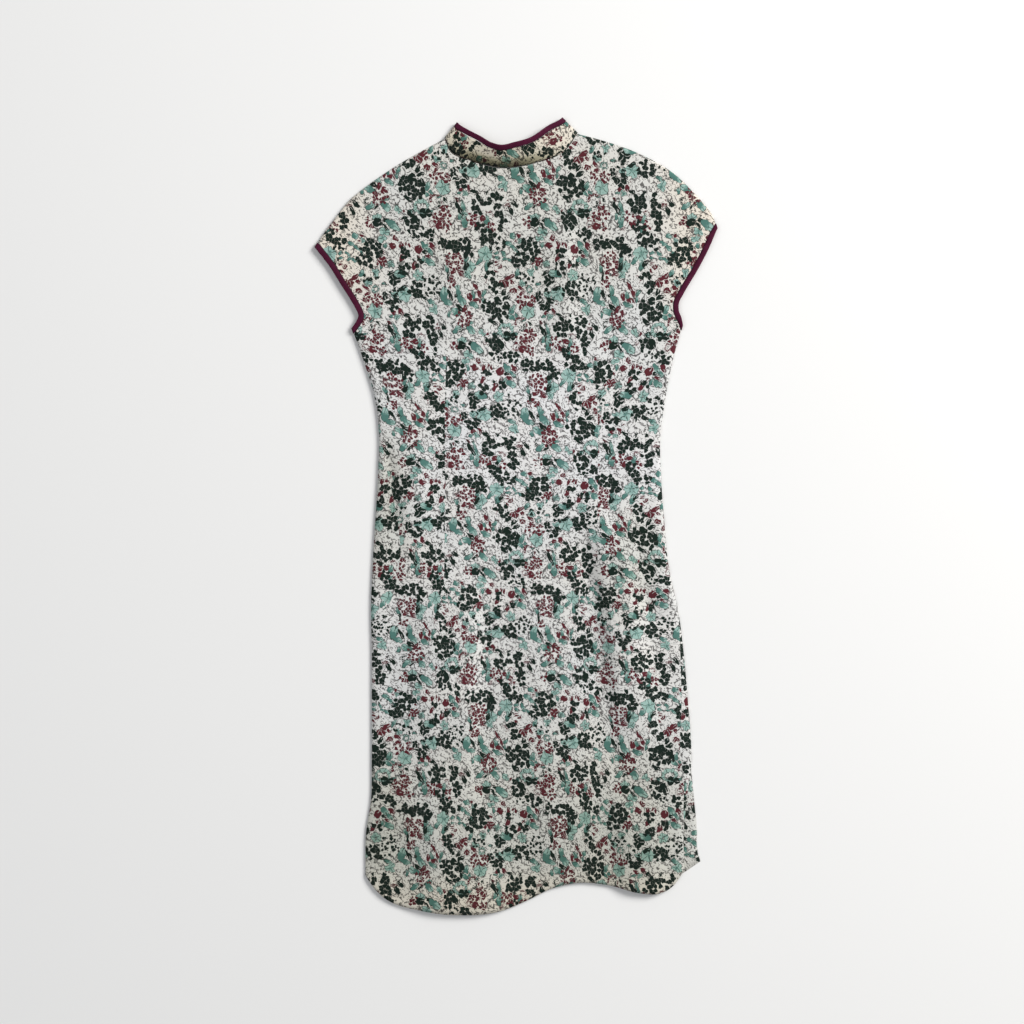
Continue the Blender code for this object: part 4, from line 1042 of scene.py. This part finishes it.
SLIT_CORNER_ROWS = ((222, -316), (226, -359), (229.5, -398), (230, -424), (234, -437))
FRONT_NECK_ROWS = ((-90, 480), (-82, 448), (-52, 415), (-8, 400), (37, 415), (67, 448), (78, 486))
FRONT_HEM_ROWS = ((-191, -454), (-172, -474), (-122, -492), (-71, -498), (-20, -493), (12, -480),
                  (48, -463), (81, -457), (119, -460), (160, -469), (192, -465), (212, -452), (234, -437))
OPENING_ROWS = ((-8, 400), (20, 371), (66, 330), (132, 294), (199, 266))
FRONT_NECK = smooth(FRONT_NECK_ROWS)
FRONT_SEAM_STEPS, FRONT_ARM_STEPS, FRONT_SHOULDER_STEPS, FRONT_NECK_STEPS, OPENING_STEPS = 70, 36, 26, 30, 44
FRONT_PRINT = (37.0, -52.0)      # where the front is cut from the print


def opening_edges():
    """Edges along the front's overlap: the underlap's, the binding's upper and lower, the front's."""
    line = smooth(OPENING_ROWS)
    arm = binding_edges(RIGHT)[2]
    return [beside(line, distance, 1, FRONT_NECK, arm)
            for distance in (SEAM_GAP, 0.0, -BINDING_WIDTH, -BINDING_WIDTH - SEAM_GAP)]


front_edge, right_arm = opening_edges()[3], binding_edges(RIGHT)[2]
slit = smooth(SLIT_CORNER_ROWS)[::-1]
right_seam = cut_at(cut_at(SIDE_SEAM[RIGHT][::-1], slit[-1])[::-1], right_arm[0])
front_left = panel_side(LEFT, FRONT_SEAM_STEPS, FRONT_ARM_STEPS)
front_right = joined(spread(joined(slit, right_seam), FRONT_SEAM_STEPS),
                     spread(cut_at(right_arm, front_edge[-1]), FRONT_ARM_STEPS))
front_top = joined(spread(to_tip(LEFT, front_left[-1]), FRONT_SHOULDER_STEPS),
                   spread(cut_at(FRONT_NECK, front_edge[0]), FRONT_NECK_STEPS),
                   spread(front_edge, OPENING_STEPS))
front_plan = patch(spread(smooth(FRONT_HEM_ROWS), len(front_top) - 1), front_top, front_left, front_right)
front = cloth_piece("front_cloth", lifted(front_plan, CLOTH), front_plan + FRONT_PRINT, printed_cotton, CLOTH)
tint_and_shade(front, front_plan)
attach(front, "root")
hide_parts("front_panel")


# ---------------------------------------------------------------------------------------------------------
# Underlap. The wearer's right shoulder of the front, under the overlap's edge: the same printed cotton.

UNDERLAP_STEPS, UNDERLAP_PRINT = 40, (11.0, 20.0)
LEAST_STEP = 0.005               # share of an edge under which two of its points would lie too close

under_edge = opening_edges()[0]
end_share = foot_on(right_arm, under_edge[-1:])[1][0] / lengths(right_arm)[-1]
under_shares = arm_shares(UNDERLAP_STEPS)
under_shares = under_shares[under_shares > end_share + LEAST_STEP]
under_right = at_share(right_arm, np.concatenate(([end_share], under_shares)))
under_left = spread(cut_at(FRONT_NECK[::-1], under_edge[0])[::-1], len(under_right) - 1)
under_top = spread(to_tip(RIGHT, under_right[-1])[::-1], UNDERLAP_STEPS)
under_plan = patch(spread(under_edge, UNDERLAP_STEPS), under_top, under_left, under_right)
underlap = cloth_piece("underlap_cloth", lifted(under_plan, CLOTH), under_plan + UNDERLAP_PRINT,
                       printed_cotton, CLOTH)
tint_and_shade(underlap, under_plan)
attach(underlap, "root")
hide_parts("front_underlap")


# ---------------------------------------------------------------------------------------------------------
# Bias bindings. Plum cotton cut on the bias, folded over the raw edges of the armholes, the overlap and the
# collar, and stitched down in the ditch along its inner edge.

PLUM = (0.048, 0.002, 0.017, 1.0)
PLUM_WORN = (0.080, 0.007, 0.031, 1.0)
THREAD = (0.040, 0.006, 0.018, 1.0)
STITCH, DITCH = 2.6, 0.7         # from one stitch to the next, and in from the strip's sewn edge
BIAS_PITCH, RUB_SCALE = 0.5, 0.11
FOLD_RUB, RUB_EDGE = 2.2, (0.42, 0.75)     # how far in from the fold it is rubbed, and the rub's soft edge
# Soft edges of a stitch across the strip and along it, and of the ditch, by the distance from their middle
STITCH_ACROSS, STITCH_ALONG, DITCH_EDGE = (0.40, 0.20), (0.25, 0.45), (1.4, 0.0)
BIAS_THREAD_HEIGHT, DITCH_HEIGHT, STITCH_HEIGHT, RUB_HEIGHT = 0.14, -0.35, 0.25, 0.35
BIAS_RELIEF, BIAS_ROUGHNESS, RUB_ROUGHNESS = 0.6, 0.74, 0.12


def make_bias_cotton():
    """Plain plum cotton with its threads at 45 degrees to the strip, paler where the fold has rubbed.

    The cut runs along the strip in x and across it in y, from the stitched edge at 0 to the fold.
    """
    material, tree = new_material("bias cotton")
    flat_place = wire(tree, "ShaderNodeUVMap", uv_map="cut").outputs[0]
    strip = turn(tree, "SCALE", flat_place, None, None, 1.0 / MM)
    along, across, _ = parts_of(tree, strip)
    bias = wire(tree, "ShaderNodeVectorRotate", (strip,), rotation_type="Z_AXIS")
    bias.inputs["Angle"].default_value = np.radians(45)
    weave = placed(tree, bpy.data.node_groups["plain weave"], bias.outputs[0], BIAS_PITCH)["Height"]
    rub = noise(tree, strip, RUB_SCALE, detail=3.0, roughness=0.6)
    fold = soft_step(tree, across, BINDING_WIDTH - FOLD_RUB, BINDING_WIDTH)
    worn = product(tree, calc(tree, "ADD", soft_step(tree, rub, *RUB_EDGE), fold), 0.5)
    dash = calc(tree, "PINGPONG", along, STITCH * 0.5)
    ditch = calc(tree, "ABSOLUTE", calc(tree, "SUBTRACT", across, DITCH))
    stitch = product(tree, soft_step(tree, ditch, *STITCH_ACROSS), soft_step(tree, dash, *STITCH_ALONG))
    colour = blend(tree, stitch, blend(tree, worn, PLUM, PLUM_WORN), THREAD)
    press = soft_step(tree, ditch, *DITCH_EDGE)
    height = calc(tree, "MULTIPLY_ADD", weave, BIAS_THREAD_HEIGHT, product(tree, press, DITCH_HEIGHT))
    height = calc(tree, "MULTIPLY_ADD", rub, RUB_HEIGHT, height)
    height = calc(tree, "MULTIPLY_ADD", stitch, STITCH_HEIGHT, height)
    roughness = calc(tree, "MULTIPLY_ADD", rub, RUB_ROUGHNESS, BIAS_ROUGHNESS)
    finish_cotton(tree, colour, height, BIAS_RELIEF, roughness, sheen_roughness=0.4, specular=0.16)
    return material


bias_cotton = make_bias_cotton()


def strip_cut(points):
    """Cut places of a strip's grid: distance along its middle, and width across from its stitched edge."""
    across = np.cumsum(np.linalg.norm(np.diff(points, axis=1, prepend=points[:, :1]), axis=-1), axis=1)
    along = lengths(points[:, points.shape[1] // 2])
    return np.stack((np.broadcast_to(along[:, None], across.shape), across), axis=-1)


ARCH_FULLNESS = 0.7              # 1 would make the arch half a sine wave: less is flatter on top


def crown(points, rise):
    """A strip's grid with its middle raised, away from the edges, in a low arch."""
    share = np.linspace(0.0, 1.0, points.shape[1])
    raised = points.copy()
    raised[..., 2] += rise * np.sin(np.pi * share)**ARCH_FULLNESS
    return raised


ACROSS_STRIP = np.linspace(0.0, 1.0, 7)[:, None]
OPENING_BINDING_STEPS = 90       # along the overlap's edge


def between(first, last):
    """A strip's grid from one edge's points to the other's."""
    return first[:, None] * (1 - ACROSS_STRIP) + last[:, None] * ACROSS_STRIP


opening_upper, opening_lower = (spread(edge, OPENING_BINDING_STEPS) for edge in opening_edges()[1:3])
opening_points = lifted(between(opening_lower, opening_upper), CLOTH)[::-1]
overlap_binding = cloth_piece("overlap_binding", opening_points, strip_cut(opening_points), bias_cotton,
                              CLOTH)
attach(overlap_binding, "root")
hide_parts("front_opening_binding")

# The armhole binding's wall, its height over the table, how far its ends take to turn, and its arch
ARM_WALL, BINDING_CREST, BINDING_TURN, BINDING_ARCH = 1.6, 6.0, 2.6, 0.5
ARM_BINDING_STEPS, TURN_CLEAR = 72, 0.004


def armhole_strip(side):
    """A strip round one armhole: over the back's edge, turned at both ends, and under along the front's."""
    outer, inner = binding_edges(side)[:2]
    whole = lengths(outer)[-1]
    turns = turn_steps(BINDING_TURN) / whole
    even = arm_shares(ARM_BINDING_STEPS)
    even = even[(even > turns[-1] + TURN_CLEAR) & (even < 1.0 - turns[-1] - TURN_CLEAR)]
    shares = np.concatenate((turns, even, 1.0 - turns[::-1]))
    from_end = np.minimum(shares, 1.0 - shares) * whole
    swing = 0.5 * (BINDING_CREST - ARM_WALL) * round_over(from_end / BINDING_TURN)
    plan = between(at_share(inner, shares), at_share(outer, shares))
    over = crown(lifted(plan, (0.5 * BINDING_CREST + swing)[:, None]), BINDING_ARCH)
    under = lifted(plan, (0.5 * BINDING_CREST - swing)[:, None])
    return np.concatenate((over, under[-2:0:-1]))[::side]


for side, name in ((LEFT, "left"), (RIGHT, "right")):
    strip = armhole_strip(side)
    armhole_binding = cloth_piece(f"armhole_bias_{name}", strip, strip_cut(strip), bias_cotton, ARM_WALL,
                                  offset=0.0, closed=True)
    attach(armhole_binding, "root")
    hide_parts(f"armhole_binding_{name}")


# ---------------------------------------------------------------------------------------------------------
# Collar. A stiffened stand collar of the printed cotton, sewn to the neck seam all round and open at the
# centre front, with rounded front ends. It stands up a little over the back and lies flat under the front.

COLLAR_WALL, COLLAR_BINDING_WALL, COLLAR_ROUND, COLLAR_CLEAR = 2.0, 2.8, 12.0, 1.35
COLLAR_ROWS = (
    # seam, base x, y, z, top x, y, z
    ("front", -9.5, 401, 1.5, -9.5, 432, 1.7), ("front", -51.5, 416, 1.5, -37, 441, 1.7),
    ("front", -81, 448.5, 1.5, -60, 470, 1.7), ("turn", -88.3, 476.8, 1.6, -72.8, 496.6, 2.0),
    ("turn", -89.4, 480.7, 3.6, -73.8, 499.6, 4.9), ("turn", -87.9, 477.0, 5.6, -71.9, 497, 7.7),
    ("back", -82.2, 462.7, 5.7, -62, 490.5, 9.5), ("back", -59.6, 453, 5.7, -45, 481, 13.5),
    ("back", -40, 446, 5.7, -31, 472, 17.0), ("back", -16, 442.5, 5.7, -18, 468.5, 19.0),
    ("back", 8, 445.2, 5.7, -2, 472, 19.0), ("back", 30, 450.8, 5.7, 17, 478, 17.0),
    ("back", 60.3, 464.2, 5.7, 41, 495, 11.5), ("turn", 75.2, 483.7, 5.6, 55.8, 503.2, 7.7),
    ("turn", 77.5, 486.7, 3.6, 58, 505.5, 4.9), ("turn", 76.2, 482.9, 1.6, 56.6, 502.4, 2.0),
    ("front", 66, 449, 1.5, 44, 470, 1.7), ("front", 36.4, 416, 1.5, 22, 441, 1.7),
    ("front", -6.5, 401, 1.5, -6.5, 432, 1.7),
)


def collar_stations():
    """The collar's lower and upper edge points, from its table, with each lower edge seated on its seam."""
    stations = []
    for seam, base_x, base_y, base_z, top_x, top_y, top_z in COLLAR_ROWS:
        base, top = np.array((base_x, base_y), float), np.array((top_x, top_y), float)
        if seam != "turn":
            foot = cut_at(FRONT_NECK if seam == "front" else BACK_NECK, base)[-1]
            base = foot + COLLAR_CLEAR * (top - foot) / np.linalg.norm(top - foot)
        stations.append((*base, base_z, *top, top_z))
    return stations


LOFT_STEPS = 24                  # from each of the table's stations to the next


def between_knots(knot):
    """Distances that divide the stretch between each two knots into even steps."""
    steps = np.arange((len(knot) - 1) * LOFT_STEPS + 1)
    return np.interp(steps / LOFT_STEPS, np.arange(len(knot)), knot)


COLLAR_LOFT = spline(collar_stations(), between_knots, steady=True)
COLLAR_AROUND = lengths(COLLAR_LOFT[:, :3])
COLLAR_HEIGHT = np.linalg.norm(COLLAR_LOFT[:, 3:] - COLLAR_LOFT[:, :3], axis=1)
COLLAR_WHOLE = COLLAR_AROUND[-1]


def on_collar(around, up):
    """Points of the collar at distances round it from its left front end and up from its seam."""
    row = np.stack([np.interp(around, COLLAR_AROUND, COLLAR_LOFT[:, axis]) for axis in range(6)], axis=-1)
    share = (up / np.interp(around, COLLAR_AROUND, COLLAR_HEIGHT))[..., None]
    return (1 - share) * row[..., :3] + share * row[..., 3:]


PLACE_STEPS, UP_POINTS = 4, 10    # steps of the loft between points, and points from seam to top


def collar_places():
    """Distances round the collar at which its pieces have points, clear of the two rounded front ends."""
    around = COLLAR_AROUND[::PLACE_STEPS]
    clear = COLLAR_ROUND + COLLAR_WALL
    inner = around[(around > clear) & (around < COLLAR_WHOLE - clear)]
    return np.concatenate(([COLLAR_ROUND], inner, [COLLAR_WHOLE - COLLAR_ROUND]))


# The collar's cloth: where it is cut from the print, its cream tint, and its painted shade. The back of the
# neck lies so far round, and the painted shade reaches so far to each side and so far up.
COLLAR_PRINT, COLLAR_CREAM = (-215.0, -20.0), 0.85
NECK_AROUND, NECK_REACH, NECK_UP = 205.0, 75.0, 13.0
COLLAR_PAINTED_SHADE, NECK_PAINTED_SHADE, FOOT_PAINTED_SHADE = 0.05, 0.14, 0.66
NECK_END, FOOT_END = 1.35, 1.25                  # shares of those reaches at which the painted shade ends
CORNER_ANGLES = np.radians((0, 20, 35, 50, 65, 80))


def collar_cloth_places():
    """How far round the collar and up from its seam each point of its cloth lies, inside the binding."""
    cloth_round = COLLAR_ROUND - BINDING_WIDTH - TURN_GAP
    corner = COLLAR_ROUND - cloth_round * np.cos(CORNER_ANGLES)
    around = np.concatenate((corner, collar_places(), COLLAR_WHOLE - corner[::-1]))
    from_end = np.minimum(np.minimum(around, COLLAR_WHOLE - around), COLLAR_ROUND)
    drop = COLLAR_ROUND - np.sqrt(np.maximum(cloth_round**2 - (COLLAR_ROUND - from_end)**2, 0.0))
    limit = np.interp(around, COLLAR_AROUND, COLLAR_HEIGHT) - drop
    up = limit[:, None] * np.linspace(0.0, 1.0, UP_POINTS)
    return np.broadcast_to(around[:, None], up.shape), up


around, up = collar_cloth_places()
collar = cloth_piece("collar_cloth", on_collar(around, up), np.stack((around, up), axis=-1) + COLLAR_PRINT,
                     printed_cotton, COLLAR_WALL, offset=0.0)
mark(collar, "cream", np.full(up.shape, COLLAR_CREAM))
# Painted shade: a little all over the collar, more round the back of the neck, and most at its foot by the
# seam
at_neck = ease(NECK_END - np.abs(around - NECK_AROUND) / NECK_REACH)
mark(collar, "painted_shading", COLLAR_PAINTED_SHADE + at_neck * (NECK_PAINTED_SHADE + FOOT_PAINTED_SHADE * ease(FOOT_END - up / NECK_UP)))
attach(collar, "root")
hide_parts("collar")

BEND_ANGLES, END_POINTS = np.radians(np.arange(0, 90, 15)), 5


def collar_binding_edge(inset):
    """A line so far in from the collar's free edge: up one front end, round the top and down the other."""
    radius, end_height = COLLAR_ROUND - inset, COLLAR_HEIGHT[0]
    end_up = np.linspace(0.0, end_height - COLLAR_ROUND, END_POINTS)[:-1]
    end_around = np.concatenate((0 * end_up + inset, COLLAR_ROUND - radius * np.cos(BEND_ANGLES)))
    end_rise = np.concatenate((end_up, end_height - COLLAR_ROUND + radius * np.sin(BEND_ANGLES)))
    places = collar_places()
    top_up = np.interp(places, COLLAR_AROUND, COLLAR_HEIGHT) - inset
    return on_collar(np.concatenate((end_around, places, COLLAR_WHOLE - end_around[::-1])),
                     np.concatenate((end_rise, top_up, end_rise[::-1])))


collar_strip = between(collar_binding_edge(BINDING_WIDTH), collar_binding_edge(0.0))
collar_binding = cloth_piece("collar_bias", collar_strip, strip_cut(collar_strip), bias_cotton,
                             COLLAR_BINDING_WALL, offset=0.0)
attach(collar_binding, "root")
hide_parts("collar_binding")


# ---------------------------------------------------------------------------------------------------------
# Table, light and camera. A pale matt surface, a broad soft light from the upper right, a weaker one from
# the left, and a camera straight above.

TABLE_REACH, TABLE_GAP = 40.0, 0.3 * MM
PAPER, ROOM_TINT, ROOM_STRENGTH = (0.768, 0.768, 0.763, 1.0), (0.97, 0.98, 1.0, 1.0), 0.34
table_mesh = bpy.data.meshes.new("table")
table_mesh.from_pydata([(x * TABLE_REACH, y * TABLE_REACH, -TABLE_GAP)
                        for x, y in ((-1, -1), (1, -1), (1, 1), (-1, 1))], [], [(0, 1, 2, 3)])
table = bpy.data.objects.new("table", table_mesh)
bpy.context.scene.collection.objects.link(table)
table_finish, table_tree = new_material("pale paper")
table_shader = table_tree.nodes["Principled BSDF"]
table_shader.inputs["Base Color"].default_value = PAPER
table_shader.inputs["Roughness"].default_value = 0.95
table_mesh.materials.append(table_finish)

LIGHTS = (
    # name, place, size, watts, colour; each is aimed at the dress's middle
    ("window", (3.2, 2.0, 2.9), 2.1, 266, (1.0, 0.985, 0.96)),
    ("room", (-2.6, -0.4, 4.2), 3.0, 50, (0.95, 0.97, 1.0)),
)
for name, place, size, watts, colour in LIGHTS:
    lamp_data = bpy.data.lights.new(name, "AREA")
    lamp_data.size, lamp_data.energy, lamp_data.color = size, watts, colour
    lamp = bpy.data.objects.new(name, lamp_data)
    lamp.location = place
    lamp.rotation_euler = (-Vector(place)).to_track_quat("-Z", "Y").to_euler()
    bpy.context.scene.collection.objects.link(lamp)
world = bpy.data.worlds.new("room light")
world.use_nodes = True
sky = world.node_tree.nodes["Background"]
sky.inputs["Color"].default_value = ROOM_TINT
sky.inputs["Strength"].default_value = ROOM_STRENGTH
bpy.context.scene.world = world
bpy.context.scene.view_settings.view_transform = "Standard"

CAMERA_PLACE, FRAME_WIDTH, SENSOR = (-0.00508, 0.00511, 2.2), 1.3005, 36.0
camera_data = bpy.data.cameras.new("overhead")
camera_data.sensor_width = SENSOR
camera_data.lens = SENSOR * CAMERA_PLACE[2] / FRAME_WIDTH
camera = bpy.data.objects.new("overhead", camera_data)
camera.location = CAMERA_PLACE
bpy.context.scene.collection.objects.link(camera)
bpy.context.scene.camera = camera
